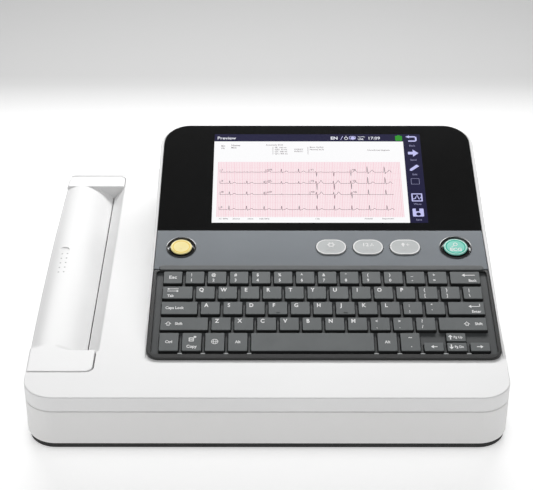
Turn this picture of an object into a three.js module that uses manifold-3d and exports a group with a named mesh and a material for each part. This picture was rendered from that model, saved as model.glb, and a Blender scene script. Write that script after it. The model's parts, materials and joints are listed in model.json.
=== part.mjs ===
// Twelve-channel desktop ECG machine: a flat body with a raised display and keyboard console on the right
// and a slide-out recorder drawer on the left. Millimetres, +Z up, the front faces -Y.
import * as THREE from "three";
import { mergeVertices } from "three/addons/utils/BufferGeometryUtils.js";
import Module from "manifold-3d";

const wasm = await Module();
wasm.setup();

// ---------------------------------------------------------------- driving dimensions
const GAP = 0.3; // play left between neighbouring pieces
const WALL = 2.8; // moulded wall thickness
const HALF_WIDTH = 180; // half width at the corners
const SIDE_BOW = 2; // the sides bulge by this much at mid depth
const HALF_DEPTH = 170;
const CORNER_RADIUS = 23;
const FOOT_HEIGHT = 5;
const PLINTH = { outer: 1.4, inner: 5, bottom: 0.8 }; // low ring that closes the gap under the case
const SEAM_Z = 35; // parting line of the two case halves
const DECK_Z = 48; // flat top of the body
const FLOOR_TOP = FOOT_HEIGHT + WALL;

// console: a lower plane with keys and buttons, and a steeper display plane
const CONSOLE_X = 43.1; // centre line of the console
const JUNCTION_Y = 16.8; // where the two planes meet
const JUNCTION_Z = 76.4;
const LOWER_TILT = THREE.MathUtils.degToRad(10.5);
const UPPER_TILT = THREE.MathUtils.degToRad(14.8);
const CONSOLE_LEFT = -92.4; // outer face of the white console wall
const PANEL_HALF_FRONT = 134.7; // half width of the dark panels at the front
const PANEL_HALF_BACK = 132.2; // and at the top edge of the display window
const LOWER_LENGTH = 145.5; // junction to the front edge, along the slope
const UPPER_LENGTH = 127; // junction to the top edge, along the slope
const PANEL_TOP_RADIUS = 22;
const PANEL_THICKNESS = 3;
const CONSOLE_FRONT = -128.5;
const CONSOLE_BACK = 160;
const CONSOLE_CORNER = 27; // radius of the console's rear corners

// keyboard, in units of the key pitch
const KEY_PITCH = 17.5;
const KEY_GAP = 2.4;
const ROW_PITCH = 17.1;
const KEY_DEPTH = 13.9;
const FRONT_KEY_DEPTH = 19.2;
const FRONT_ROW_SHIFT = 0.6; // the front row sits this much closer to the row behind it
const KEY_UNITS = 14.5; // width of the key field in key pitches
const KEYS_LEFT = -125.4; // left edge of the key field, from the console centre line
const KEYS_TOP = -50; // rear edge of the first row, along the slope from the junction
const KEY_TOP = 0.9; // key tops above the panel plane
const KEY_BOTTOM = -5;
const FRAME_BACK = -47; // rear edge of the keyboard frame
const WELL_DEPTH = 1.8; // the key plate lies this far below the frame
const FRAME_DEPTH = 5.5;
const FRAME_CORNER = 10; // its front corners
const KEY_CLEARANCE = 0.4;
const BANK_WEB_TOP = -5.9;
const BANK_WEB_THICKNESS = 0.8;
const BOARD_TOP = -9.2;
const BOARD_THICKNESS = 1.6;

// function buttons on the lower plane
const BUTTON_ROW = -20.2;
const BUTTON_TOP = 1; // round caps above the panel; the oval ones stay a little lower
const OVAL_TOP = 0.9;
const ROUND_BUTTONS = [
  { name: "power_button", x: -112.8, radius: 8.7, colour: 0xf0c040 },
  { name: "ecg_button", x: 109.8, radius: 9.7, colour: 0x2fc79f },
];
const OVAL_BUTTONS = [
  { name: "setup_button", x: 8.8 },
  { name: "leads_button", x: 38.7 },
  { name: "filter_button", x: 68.7 },
];
const OVAL_WIDTH = 24.6;
const OVAL_DEPTH = 17.4;

// recorder drawer on the left
const DOOR_RIGHT = -128.6; // right end of the rear block, upper edge of the paper lip
const BAR_RIGHT = -130; // right end of the front bar
const DOOR_FRONT = -138.5;
const DOOR_BACK = 156;
const DOOR_RADIUS = 6;
const BAR_REAR = -111.3; // rear face of the front bar
const BLOCK_FRONT = 138; // front face of the rear block
const SLOT_X = -139.4; // right edge of the crown, left edge of the paper slot
const SLOT_WIDTH = 1.2;
const VALLEY_Z = 35.6;
const CROWN_RADIUS = 30;
const CROWN_X = -167;
const DOOR_BOTTOM = 8.4;
const RECORDER_Y = 13.5; // middle of the paper path
const PAPER_WIDTH = 210;
const PAPER_LENGTH = 140;
const STACK = { left: -175.5, bottom: 10.3, top: 17.2 };
const TRAY = { left: -178.6, bottom: 8.8, top: 17.6, wall: 1.5 };
const ROLLER_RADIUS = 6.2;
const ROLLER_LENGTH = 213;
const ROLLER_X = -145.9;
const ROLLER_Z = 24;
const SHAFT_RADIUS = 2.5;
const GEAR_MODULE = 1;
const GEAR_TEETH = 18;
const PINION_TEETH = 9;
const GEAR_Y = -120; // front face of the gear pair
const GEAR_WIDTH = 5;
const GEAR_PLAY = 0.25;
const MOTOR = { radius: 11, length: 24 };
const PRINT_HEAD = { right: -126, top: 31.5, leg: 8 };

// cooling slots in the rear wall of the console
const VENTS = { count: 9, pitch: 12, width: 2.8, bottom: 60, top: 84 };

// rear connector recess
const RECESS = { left: -40, right: 168, bottom: 9, top: 32, depth: 10 };

const WHITE = { color: 0xf1f1ef, roughness: 0.45, metalness: 0 };
const PALE_GREY = { color: 0xdfdedb, roughness: 0.45, metalness: 0 };
const PANEL_GREY = { color: 0x6c7379, roughness: 0.4, metalness: 0 };
const BLACK_GLOSS = { color: 0x0c0e10, roughness: 0.12, metalness: 0 };
const KEY_GREY = { color: 0x3b4145, roughness: 0.5, metalness: 0 };
const FRAME_BLACK = { color: 0x15181a, roughness: 0.4, metalness: 0 };
const OVAL_GREY = { color: 0x9aa0a3, roughness: 0.5, metalness: 0 };
const RUBBER = { color: 0x1b1b1c, roughness: 0.85, metalness: 0 };
const STEEL = { color: 0xb8babd, roughness: 0.35, metalness: 1 };
const BRASS = { color: 0xb59a52, roughness: 0.35, metalness: 1 };
const BOARD_GREEN = { color: 0x1f5a3c, roughness: 0.5, metalness: 0 };
const NYLON = { color: 0xe6e2d4, roughness: 0.5, metalness: 0 };
const PAPER = { color: 0xf4e9ea, roughness: 0.9, metalness: 0 };

// ---------------------------------------------------------------- solids
function toSolid(geometry) {
  geometry.deleteAttribute("normal");
  geometry.deleteAttribute("uv");
  const merged = mergeVertices(geometry, 1e-3);
  const vertProperties = new Float32Array(merged.attributes.position.array);
  const triVerts = new Uint32Array(merged.index.array);
  return new wasm.Manifold(new wasm.Mesh({ numProp: 3, vertProperties, triVerts }));
}

function toGeometry(solid) {
  const mesh = solid.getMesh();
  const geometry = new THREE.BufferGeometry();
  geometry.setAttribute("position", new THREE.BufferAttribute(new Float32Array(mesh.vertProperties), 3));
  geometry.setIndex(new THREE.BufferAttribute(new Uint32Array(mesh.triVerts), 1));
  return geometry;
}

function piece(name, solid, look) {
  const mesh = new THREE.Mesh(toGeometry(solid), new THREE.MeshStandardMaterial(look));
  mesh.name = name;
  return mesh;
}

function union(first, ...others) {
  return others.reduce((sum, solid) => sum.add(solid), first);
}

function cut(first, ...others) {
  return others.reduce((rest, solid) => rest.subtract(solid), first);
}

function box(x0, x1, y0, y1, z0, z1) {
  const geometry = new THREE.BoxGeometry(x1 - x0, y1 - y0, z1 - z0);
  geometry.translate((x0 + x1) / 2, (y0 + y1) / 2, (z0 + z1) / 2);
  return toSolid(geometry);
}

function extrude(points, depth, placement) {
  const shape = new THREE.Shape(points.map(([u, v]) => new THREE.Vector2(u, v)));
  const geometry = new THREE.ExtrudeGeometry(shape, { depth, bevelEnabled: false });
  geometry.applyMatrix4(placement);
  return toSolid(geometry);
}

// plan outline (x, y) raised from z0 to z1
function prismZ(points, z0, z1) {
  return extrude(points, z1 - z0, new THREE.Matrix4().makeTranslation(0, 0, z0));
}

// side outline (y, z) swept from x0 to x1
function prismX(points, x0, x1) {
  const axes = [new THREE.Vector3(0, 1, 0), new THREE.Vector3(0, 0, 1), new THREE.Vector3(1, 0, 0)];
  const placement = new THREE.Matrix4().makeBasis(...axes).setPosition(x0, 0, 0);
  return extrude(points, x1 - x0, placement);
}

// front outline (x, z) swept from y0 to y1
function prismY(points, y0, y1) {
  const axes = [new THREE.Vector3(1, 0, 0), new THREE.Vector3(0, 0, 1), new THREE.Vector3(0, -1, 0)];
  const placement = new THREE.Matrix4().makeBasis(...axes).setPosition(0, y1, 0);
  return extrude(points, y1 - y0, placement);
}

function cylinderY(radius, x, z, y0, y1, sides = 24) {
  const geometry = new THREE.CylinderGeometry(radius, radius, y1 - y0, sides);
  geometry.translate(x, (y0 + y1) / 2, z);
  return toSolid(geometry);
}

function cylinderZ(radius, x, y, z0, z1, sides = 24) {
  const geometry = new THREE.CylinderGeometry(radius, radius, z1 - z0, sides);
  geometry.rotateX(Math.PI / 2);
  geometry.translate(x, y, (z0 + z1) / 2);
  return toSolid(geometry);
}

// ---------------------------------------------------------------- outlines
// corners are [x, y, radius]; a radius of 0 keeps the corner sharp
function roundCorners(corners, steps = 6) {
  const points = [];
  corners.forEach(([x, y, radius], i) => {
    if (!radius) {
      points.push([x, y]);
      return;
    }
    const corner = new THREE.Vector2(x, y);
    const before = corners[(i + corners.length - 1) % corners.length];
    const after = corners[(i + 1) % corners.length];
    const toBefore = new THREE.Vector2(before[0] - x, before[1] - y).normalize();
    const toAfter = new THREE.Vector2(after[0] - x, after[1] - y).normalize();
    const half = Math.acos(THREE.MathUtils.clamp(toBefore.dot(toAfter), -1, 1)) / 2;
    const reach = radius / Math.tan(half);
    const start = corner.clone().addScaledVector(toBefore, reach);
    const end = corner.clone().addScaledVector(toAfter, reach);
    const middle = toBefore.clone().add(toAfter).normalize().multiplyScalar(radius / Math.sin(half));
    const centre = corner.clone().add(middle);
    const from = Math.atan2(start.y - centre.y, start.x - centre.x);
    const turn = Math.atan2(end.y - centre.y, end.x - centre.x) - from;
    const sweep = turn > Math.PI ? turn - 2 * Math.PI : turn < -Math.PI ? turn + 2 * Math.PI : turn;
    for (let k = 0; k <= steps; k += 1) {
      const angle = from + (sweep * k) / steps;
      points.push([centre.x + radius * Math.cos(angle), centre.y + radius * Math.sin(angle)]);
    }
  });
  return points;
}

function roundedBox(x0, x1, y0, y1, z0, z1, radius, steps = 4) {
  const corners = [[x0, y0, radius], [x1, y0, radius], [x1, y1, radius], [x0, y1, radius]];
  return prismZ(roundCorners(corners, steps), z0, z1);
}

// body plan: straight front and back, round corners, sides bowed outwards
function bodyOutline(inset) {
  const radius = CORNER_RADIUS - inset;
  const straight = HALF_DEPTH - CORNER_RADIUS;
  const right = [];
  const cornerSteps = 7;
  const sideSteps = 6;
  for (let k = 0; k <= cornerSteps; k += 1) {
    const angle = (-Math.PI / 2) * (1 - k / cornerSteps);
    right.push([HALF_WIDTH - CORNER_RADIUS + radius * Math.cos(angle), -straight + radius * Math.sin(angle)]);
  }
  for (let k = 1; k <= sideSteps / 2; k += 1) {
    const y = -straight + (2 * straight * k) / sideSteps;
    right.push([HALF_WIDTH - inset + SIDE_BOW * (1 - (y / straight) ** 2), y]);
  }
  const upper = right.slice(0, -1).reverse().map(([x, y]) => [x, -y]);
  const half = [...right, ...upper];
  const left = half.slice().reverse().map(([x, y]) => [-x, y]);
  return [...half, ...left];
}

// ---------------------------------------------------------------- console geometry
const lowerFrame = new THREE.Matrix4()
  .makeTranslation(CONSOLE_X, JUNCTION_Y, JUNCTION_Z)
  .multiply(new THREE.Matrix4().makeRotationX(LOWER_TILT));
const upperFrame = new THREE.Matrix4()
  .makeTranslation(CONSOLE_X, JUNCTION_Y, JUNCTION_Z)
  .multiply(new THREE.Matrix4().makeRotationX(UPPER_TILT));

// point of a tilted plane, in the body's (y, z)
function onSlope(tilt, along, above) {
  const y = JUNCTION_Y + along * Math.cos(tilt) - above * Math.sin(tilt);
  const z = JUNCTION_Z + along * Math.sin(tilt) + above * Math.cos(tilt);
  return [y, z];
}

// half width of the dark panels at a place along the console, measured in plan
function panelHalfWidth(y) {
  const front = onSlope(LOWER_TILT, -LOWER_LENGTH, 0)[0];
  const back = onSlope(UPPER_TILT, UPPER_LENGTH, 0)[0];
  return THREE.MathUtils.mapLinear(y, front, back, PANEL_HALF_FRONT, PANEL_HALF_BACK);
}

function lowerHalf(along) {
  return panelHalfWidth(onSlope(LOWER_TILT, along, 0)[0]);
}

function upperHalf(along) {
  return panelHalfWidth(onSlope(UPPER_TILT, along, 0)[0]);
}

function placed(solid, frame) {
  return solid.transform(frame.elements);
}

// four-sided panel outline between two places along a plane; the far corners may be round
function panelOutline(half, y0, y1, grow, frontRadius, backRadius) {
  const x0 = half(y0) + grow;
  const x1 = half(y1) + grow;
  const corners = [
    [-x0, y0 - grow, frontRadius],
    [x0, y0 - grow, frontRadius],
    [x1, y1 + grow, backRadius],
    [-x1, y1 + grow, backRadius],
  ];
  return roundCorners(corners, 7);
}

function consoleProfile(drop, back, bottom) {
  const frontTop = onSlope(LOWER_TILT, -LOWER_LENGTH - 1.5, -drop);
  const junction = onSlope((LOWER_TILT + UPPER_TILT) / 2, 0, -drop);
  const top = onSlope(UPPER_TILT, UPPER_LENGTH + 1.5 - back * 0.6, -drop);
  return [
    [frontTop[0] + back, bottom],
    [frontTop[0] + back, frontTop[1]],
    junction,
    top,
    [top[0] + 4.5, top[1] - 5],
    [CONSOLE_BACK - back, DECK_Z],
    [CONSOLE_BACK - back, bottom],
  ];
}

// ---------------------------------------------------------------- case halves
const SCREW_PLACES = [[-100, -150], [110, -150], [174.5, 125], [-100, 150]];
const FOOT_PLACES = [[-150, -140], [150, -140], [150, 140], [-150, 140]];
const SPEAKER = { x: -62, y: -140, radius: 14, slotPitch: 5 };
const SCREW = { boss: 4, clearance: 1.8, thread: 1.6, counterbore: 3.6, headDepth: 2.2 };
const BATTERY = { x0: 20, x1: 98, y0: -70, y1: 4, z0: 10.5, z1: 29 };
const BATTERY_DOOR = { x0: 12, x1: 106, y0: -78, y1: 12 };
const PATIENT = { y: -60, z: 20, width: 39, height: 13 };

function screwShaft([x, y], radius) {
  return cylinderZ(radius, x, y, FOOT_HEIGHT - 1, SEAM_Z + 12, 16);
}

function makeBottomCase() {
  const outside = prismZ(bodyOutline(0), FOOT_HEIGHT, SEAM_Z - GAP / 2);
  const shell = cut(outside, prismZ(bodyOutline(WALL), FLOOR_TOP, DECK_Z));
  const bosses = SCREW_PLACES.map(([x, y]) => cylinderZ(SCREW.boss, x, y, FLOOR_TOP - 1, SEAM_Z - 1, 16));
  const recessFloor = box(
    RECESS.left - WALL, RECESS.right + WALL,
    HALF_DEPTH - RECESS.depth - WALL, HALF_DEPTH - 1,
    FLOOR_TOP - 1, RECESS.top + 2,
  ).intersect(prismZ(bodyOutline(0.5), 0, 60));
  let solid = union(shell, recessFloor, makePlinth(), ...bosses);
  const recess = box(
    RECESS.left, RECESS.right, HALF_DEPTH - RECESS.depth, HALF_DEPTH + 5, RECESS.bottom, RECESS.top,
  );
  const drawerBay = box(-190, -170, DOOR_FRONT - GAP, DOOR_BACK + GAP, DOOR_BOTTOM - GAP, 40);
  const doorHole = box(
    BATTERY_DOOR.x0 + 4, BATTERY_DOOR.x1 - 4, BATTERY_DOOR.y0 + 4, BATTERY_DOOR.y1 - 4, 0, FLOOR_TOP + 1,
  );
  const doorRebate = roundedBox(
    BATTERY_DOOR.x0 - GAP, BATTERY_DOOR.x1 + GAP, BATTERY_DOOR.y0 - GAP, BATTERY_DOOR.y1 + GAP,
    0, FOOT_HEIGHT + LID_THICKNESS + GAP, 4,
  );
  solid = cut(solid, recess, drawerBay, doorHole, doorRebate);
  solid = cut(solid, ...SCREW_PLACES.map((place) => screwShaft(place, SCREW.clearance)));
  solid = cut(solid, ...SCREW_PLACES.map(([x, y]) =>
    cylinderZ(SCREW.counterbore, x, y, 0, FOOT_HEIGHT + SCREW.headDepth, 16)));
  for (let k = -2; k <= 2; k += 1) {
    const reach = Math.sqrt(SPEAKER.radius ** 2 - (k * SPEAKER.slotPitch) ** 2) - 1;
    const y = SPEAKER.y + k * SPEAKER.slotPitch;
    solid = solid.subtract(box(SPEAKER.x - reach, SPEAKER.x + reach, y - 1, y + 1, 0, FLOOR_TOP + 4));
  }
  solid = cut(solid, ...rearPortHoles(), sidePortHole());
  return piece("bottom_case", solid, WHITE);
}

// ring under the rim of the case, open round the screw that sits close to the side
function makePlinth() {
  const ring = cut(
    prismZ(bodyOutline(PLINTH.outer), PLINTH.bottom, FOOT_HEIGHT + 1),
    prismZ(bodyOutline(PLINTH.inner), 0, FOOT_HEIGHT + 2),
  );
  const [, , [screwX, screwY]] = SCREW_PLACES;
  return ring.subtract(box(screwX - 6, screwX + 20, screwY - 6, screwY + 6, 0, FOOT_HEIGHT));
}

function sidePortHole() {
  const { y, z, width, height } = PATIENT;
  const [y0, y1] = [y - width / 2 - GAP, y + width / 2 + GAP];
  return box(HALF_WIDTH - 10, HALF_WIDTH + 10, y0, y1, z - height / 2 - GAP, z + height / 2 + GAP);
}

// plan of the raised console, before it is trimmed to the body outline
function consoleOutline(inset) {
  const back = CONSOLE_BACK - inset;
  const corners = [
    [CONSOLE_LEFT + inset, CONSOLE_FRONT + inset * 0.4, 0],
    [HALF_WIDTH + 10, CONSOLE_FRONT + inset * 0.4, 0],
    [HALF_WIDTH + 10, back, 0],
    [CONSOLE_LEFT + inset, back, CONSOLE_CORNER - inset],
  ];
  return roundCorners(corners, 7);
}

// the display's far right corner is rounded like the left one
function consoleTrim(inset) {
  const right = HALF_WIDTH + SIDE_BOW - inset;
  const back = CONSOLE_BACK - inset;
  const corners = [[-200, -200, 0], [right, -200, 0], [right, back, CONSOLE_CORNER - inset], [-200, back, 0]];
  return prismZ(roundCorners(corners, 7), 20, 130);
}

function consoleBody(inset, drop, bottom) {
  const wedge = prismX(consoleProfile(drop, inset, bottom), -120, 200);
  return wedge
    .intersect(prismZ(consoleOutline(inset), bottom - 1, 130))
    .intersect(prismZ(bodyOutline(inset), bottom - 1, 130))
    .intersect(consoleTrim(inset));
}

function makeTopCase() {
  const deck = prismZ(bodyOutline(0), SEAM_Z + GAP / 2, DECK_Z);
  const outside = union(deck, consoleBody(0, -0.2, 40));
  const hollow = union(prismZ(bodyOutline(WALL), 30, DECK_Z - WALL), consoleBody(WALL, 6, 40));
  let solid = cut(outside, hollow);
  // ledges carry the panels; the windows open the ledges to the inside
  const upperPocket = prismZ(
    panelOutline(upperHalf, -2, UPPER_LENGTH, GAP, 0, PANEL_TOP_RADIUS), -PANEL_THICKNESS - GAP, 20,
  );
  const lowerPocket = prismZ(panelOutline(lowerHalf, FRAME_BACK, 2, GAP, 0, 0), -PANEL_THICKNESS - GAP, 20);
  const framePocket = prismZ(
    panelOutline(lowerHalf, -LOWER_LENGTH, FRAME_BACK + 1, GAP, FRAME_CORNER, 0), -FRAME_DEPTH - GAP, 20,
  );
  const upperHole = prismZ(panelOutline(upperHalf, 0, UPPER_LENGTH, -4, 0, PANEL_TOP_RADIUS - 4), -40, 20);
  const lowerHole = prismZ(panelOutline(lowerHalf, -LOWER_LENGTH, 4, -4, FRAME_CORNER - 4, 0), -30, 20);
  solid = cut(solid, placed(upperPocket, upperFrame), placed(upperHole, upperFrame));
  solid = cut(solid, placed(lowerPocket, lowerFrame), placed(framePocket, lowerFrame));
  solid = cut(solid, placed(lowerHole, lowerFrame));
  solid = cut(solid, ...recorderBay());
  solid = solid.add(paperLip());
  for (let k = 0; k < VENTS.count; k += 1) {
    const x = k * VENTS.pitch;
    solid = solid.subtract(box(x - VENTS.width / 2, x + VENTS.width / 2, 140, 175, VENTS.bottom, VENTS.top));
  }
  const bosses = SCREW_PLACES.map(([x, y]) => cylinderZ(SCREW.boss, x, y, SEAM_Z, DECK_Z - 1, 16));
  solid = union(solid, ...bosses);
  const threads = SCREW_PLACES.map(([x, y]) => cylinderZ(SCREW.thread, x, y, SEAM_Z - 1, DECK_Z - 4, 12));
  solid = cut(solid, ...threads);
  return piece("top_case", solid, WHITE);
}

// the deck is open over the drawer; between its end blocks the opening stops short at the paper lip
function recorderBay() {
  const corners = [
    [-200, DOOR_FRONT - GAP, 0],
    [BAR_RIGHT + GAP, DOOR_FRONT - GAP, DOOR_RADIUS + GAP],
    [BAR_RIGHT + GAP, BAR_REAR + GAP, 0],
    [DOOR_RIGHT + GAP, BAR_REAR + GAP, 0],
    [DOOR_RIGHT + GAP, DOOR_BACK + GAP, DOOR_RADIUS + GAP],
    [-200, DOOR_BACK + GAP, 0],
  ];
  return [prismZ(roundCorners(corners, 6), 20, 60)];
}

// sloping lip that guides the paper out of the slot
function paperLip() {
  const edge = SLOT_X + SLOT_WIDTH;
  const profile = [
    [edge, VALLEY_Z - 2.5],
    [DOOR_RIGHT + 2, VALLEY_Z - 2.5],
    [DOOR_RIGHT + 2, DECK_Z - 0.5],
    [DOOR_RIGHT + GAP, DECK_Z - 0.5],
    [edge, VALLEY_Z + 0.6],
  ];
  return prismY(profile, BAR_REAR + GAP, BLOCK_FRONT - GAP);
}

// ---------------------------------------------------------------- recorder drawer
const DOOR_INSIDE = -179; // inner face of the drawer's outer wall
const SKIRT_DROP = 9; // depth of the end blocks' skirts below the deck
const CHEEK = { thickness: 3, before: 8, after: 5, bottom: 14 }; // end plates that hold the platen

// crown section: a round ridge that falls to the paper slot on its right
function crownProfile() {
  const points = [];
  const axisZ = DECK_Z - CROWN_RADIUS;
  const steps = 12;
  const from = Math.acos((-181.8 - CROWN_X) / CROWN_RADIUS);
  const to = Math.asin((VALLEY_Z + 2.2 - axisZ) / CROWN_RADIUS);
  for (let k = 0; k <= steps; k += 1) {
    const angle = from + ((to - from) * k) / steps;
    points.push([CROWN_X + CROWN_RADIUS * Math.cos(angle), axisZ + CROWN_RADIUS * Math.sin(angle)]);
  }
  const outer = points.filter(([x]) => x < SLOT_X - 2.6);
  return [...outer, [SLOT_X, VALLEY_Z]];
}

function makeRecorderDoor() {
  const clip = prismZ(bodyOutline(0), 0, 60);
  const plan = roundCorners([
    [-190, DOOR_FRONT, 0],
    [BAR_RIGHT, DOOR_FRONT, DOOR_RADIUS],
    [BAR_RIGHT, 0, 0],
    [DOOR_RIGHT, 0, 0],
    [DOOR_RIGHT, DOOR_BACK, DOOR_RADIUS],
    [-190, DOOR_BACK, 0],
  ]);
  const block = prismZ(plan, DOOR_BOTTOM, DECK_Z).intersect(clip);
  const crown = crownProfile();
  const [left] = crown;
  // everything above the crown between the two end blocks is taken away
  const above = [[-200, left[1]], ...crown, [SLOT_X, 30], [-100, 30], [-100, 60], [-200, 60]];
  const valley = prismY(above, BAR_REAR, BLOCK_FRONT);
  const insidePlan = roundCorners([
    [DOOR_INSIDE, DOOR_FRONT + WALL, 0],
    [BAR_RIGHT - WALL, DOOR_FRONT + WALL, DOOR_RADIUS - WALL],
    [BAR_RIGHT - WALL, 0, 0],
    [DOOR_RIGHT - WALL, 0, 0],
    [DOOR_RIGHT - WALL, DOOR_BACK - WALL, DOOR_RADIUS - WALL],
    [DOOR_INSIDE, DOOR_BACK - WALL, 0],
  ]);
  const endHollow = prismZ(insidePlan, 0, DECK_Z - WALL);
  const inner = crown.map(([x, z]) => [CROWN_X + (x - CROWN_X) * 0.91, z - WALL]);
  const underside = [
    [DOOR_INSIDE, 0], [DOOR_INSIDE, inner[0][1] - 1], ...inner,
    [SLOT_X - 0.1, VALLEY_Z - WALL], [SLOT_X + 30, VALLEY_Z - WALL], [SLOT_X + 30, 0],
  ];
  const crownHollow = prismY(underside, BAR_REAR - WALL, BLOCK_FRONT + WALL);
  const middle = box(-200, -100, BAR_REAR - WALL, BLOCK_FRONT + WALL, 0, 100);
  const ends = endHollow.subtract(middle);
  let solid = cut(block, valley, ends, crownHollow);
  // the end blocks' skirts stop a little below the deck, so that the drawer clears the case
  const below = box(DOOR_INSIDE + 0.5, -100, DOOR_FRONT - 5, DOOR_BACK + 5, 0, DECK_Z - SKIRT_DROP);
  solid = cut(solid, below.subtract(middle));
  const depth = CHEEK.thickness;
  for (const [y0, y1] of [[BAR_REAR, BAR_REAR + depth], [BLOCK_FRONT - depth, BLOCK_FRONT]]) {
    const cheek = roundCorners([
      [ROLLER_X - CHEEK.before, CHEEK.bottom, 4], [ROLLER_X + CHEEK.after, CHEEK.bottom, 4],
      [ROLLER_X + CHEEK.after, VALLEY_Z - 1, 0], [-160, VALLEY_Z + 2, 0],
      [DOOR_INSIDE + 0.1, VALLEY_Z + 2, 0], [DOOR_INSIDE + 0.1, 30, 0],
    ], 4);
    solid = solid.add(prismY(cheek, y0, y1));
    solid = solid.subtract(cylinderY(SHAFT_RADIUS + GAP, ROLLER_X, ROLLER_Z, y0 - 1, y1 + 1));
  }
  return piece("recorder_door", solid, PALE_GREY);
}

function makePaperTray() {
  const { left, bottom, top, wall } = TRAY;
  const right = left + PAPER_LENGTH + 8;
  const y0 = RECORDER_Y - PAPER_WIDTH / 2 - 3;
  const y1 = RECORDER_Y + PAPER_WIDTH / 2 + 3;
  const outside = box(left, right, y0, y1, bottom, top);
  const inside = box(left + wall, right - wall, y0 + wall, y1 - wall, bottom + 1.2, top + 1);
  return piece("paper_tray", cut(outside, inside), NYLON);
}

function makePaperStack() {
  const y0 = RECORDER_Y - PAPER_WIDTH / 2;
  const stack = box(STACK.left, STACK.left + PAPER_LENGTH, y0, y0 + PAPER_WIDTH, STACK.bottom, STACK.top);
  return piece("paper_stack", stack, PAPER);
}

function makePlatenRoller() {
  const y0 = RECORDER_Y - ROLLER_LENGTH / 2;
  const y1 = RECORDER_Y + ROLLER_LENGTH / 2;
  const shaft = cylinderY(SHAFT_RADIUS, ROLLER_X, ROLLER_Z, GEAR_Y + GEAR_WIDTH + GAP, BLOCK_FRONT + 1, 24);
  const sleeve = cylinderY(ROLLER_RADIUS, ROLLER_X, ROLLER_Z, y0, y1, 32);
  return piece("platen_roller", union(sleeve, shaft), RUBBER);
}

// spur gear with straight-flanked teeth, a little thin so that it runs with play
function gearOutline(teeth, firstAngle) {
  const pitch = (GEAR_MODULE * teeth) / 2;
  const tip = pitch + GEAR_MODULE * 0.85;
  const root = pitch - GEAR_MODULE * 1.15;
  const step = (2 * Math.PI) / teeth;
  const points = [];
  for (let k = 0; k < teeth; k += 1) {
    const middle = firstAngle + k * step;
    for (const [radius, share] of [[root, -0.33], [tip, -0.1], [tip, 0.1], [root, 0.33]]) {
      points.push([radius * Math.cos(middle + share * step), radius * Math.sin(middle + share * step)]);
    }
  }
  return points;
}

const GEAR_DISTANCE = (GEAR_MODULE * (GEAR_TEETH + PINION_TEETH)) / 2 + GEAR_PLAY;

function makeGear(name, teeth, x, firstAngle, hub, look) {
  const outline = gearOutline(teeth, firstAngle).map(([u, v]) => [x + u, ROLLER_Z + v]);
  return piece(name, union(prismY(outline, GEAR_Y, GEAR_Y + GEAR_WIDTH), hub), look);
}

function makePlatenGear() {
  const hub = cylinderY(4, ROLLER_X, ROLLER_Z, GEAR_Y - 1.2, GEAR_Y + 1, 20);
  return makeGear("platen_gear", GEAR_TEETH, ROLLER_X, Math.PI / GEAR_TEETH, hub, NYLON);
}

function makeMotorPinion() {
  const x = ROLLER_X + GEAR_DISTANCE;
  const stub = cylinderY(1.5, x, ROLLER_Z, GEAR_Y - 2, GEAR_Y + 1, 16);
  return makeGear("motor_pinion", PINION_TEETH, x, Math.PI, stub, BRASS);
}

function makePaperMotor() {
  const x = ROLLER_X + GEAR_DISTANCE;
  const front = GEAR_Y - 2 - GAP;
  const body = cylinderY(MOTOR.radius, x, ROLLER_Z, front - MOTOR.length, front, 32);
  const foot = box(x - 8, x + 8, front - 20, front - 6, FLOOR_TOP + GAP, ROLLER_Z - 6);
  return piece("paper_motor", union(body, foot), STEEL);
}

function makePrintHead() {
  const y0 = RECORDER_Y - ROLLER_LENGTH / 2;
  const y1 = RECORDER_Y + ROLLER_LENGTH / 2;
  const face = ROLLER_X + ROLLER_RADIUS + GAP;
  const { right, top, leg } = PRINT_HEAD;
  const profile = [[face, 22], [face + 5, 19], [right, 19], [right, top], [face + 4, top], [face, 27]];
  const bar = prismY(profile, y0 - 4, y1 + 4);
  const legs = [[y0 - 10, y0 - 4.5], [y1 + 4.5, y1 + 10]].map(([a, b]) =>
    box(right - leg, right, a, b, FLOOR_TOP + GAP, top));
  const ties = [[y0 - 10, y0 - 3], [y1 + 3, y1 + 10]].map(([a, b]) => box(right - leg, right, a, b, 22, top));
  return piece("print_head", union(bar, ...legs, ...ties), STEEL);
}

// ---------------------------------------------------------------- console pieces
function makeDisplayWindow() {
  const outline = panelOutline(upperHalf, GAP, UPPER_LENGTH, 0, 0, PANEL_TOP_RADIUS);
  return piece("display_window", prismZ(outline, -PANEL_THICKNESS + 0.8, 0), BLACK_GLOSS);
}

const LCD = { left: -94, right: 96, bottom: 5, top: 121, back: -10 };

function makeLcdModule() {
  const { left, right, bottom, top, back } = LCD;
  const plate = box(left, right, bottom, top, back, -PANEL_THICKNESS);
  const driver = box(left + 14, right - 36, bottom + 25, top - 21, back - 4, back + 1);
  return piece("lcd_module", union(plate, driver), STEEL);
}

function makeButtonPanel() {
  const outline = panelOutline(lowerHalf, FRAME_BACK + GAP, -GAP, 0, 0, 0);
  let solid = prismZ(outline, -PANEL_THICKNESS, 0);
  for (const { x, radius } of ROUND_BUTTONS) {
    solid = solid.subtract(cylinderZ(radius + GAP, x, BUTTON_ROW, -9, 9, 32));
  }
  for (const { x } of OVAL_BUTTONS) {
    solid = solid.subtract(ovalPrism(x, OVAL_WIDTH + 2 * GAP, OVAL_DEPTH + 2 * GAP, -9, 9));
  }
  return piece("button_panel", solid, PANEL_GREY);
}

function ovalPrism(x, width, depth, z0, z1) {
  return roundedBox(
    x - width / 2, x + width / 2, BUTTON_ROW - depth / 2, BUTTON_ROW + depth / 2, z0, z1, depth / 2 - 0.01, 8,
  );
}

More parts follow.
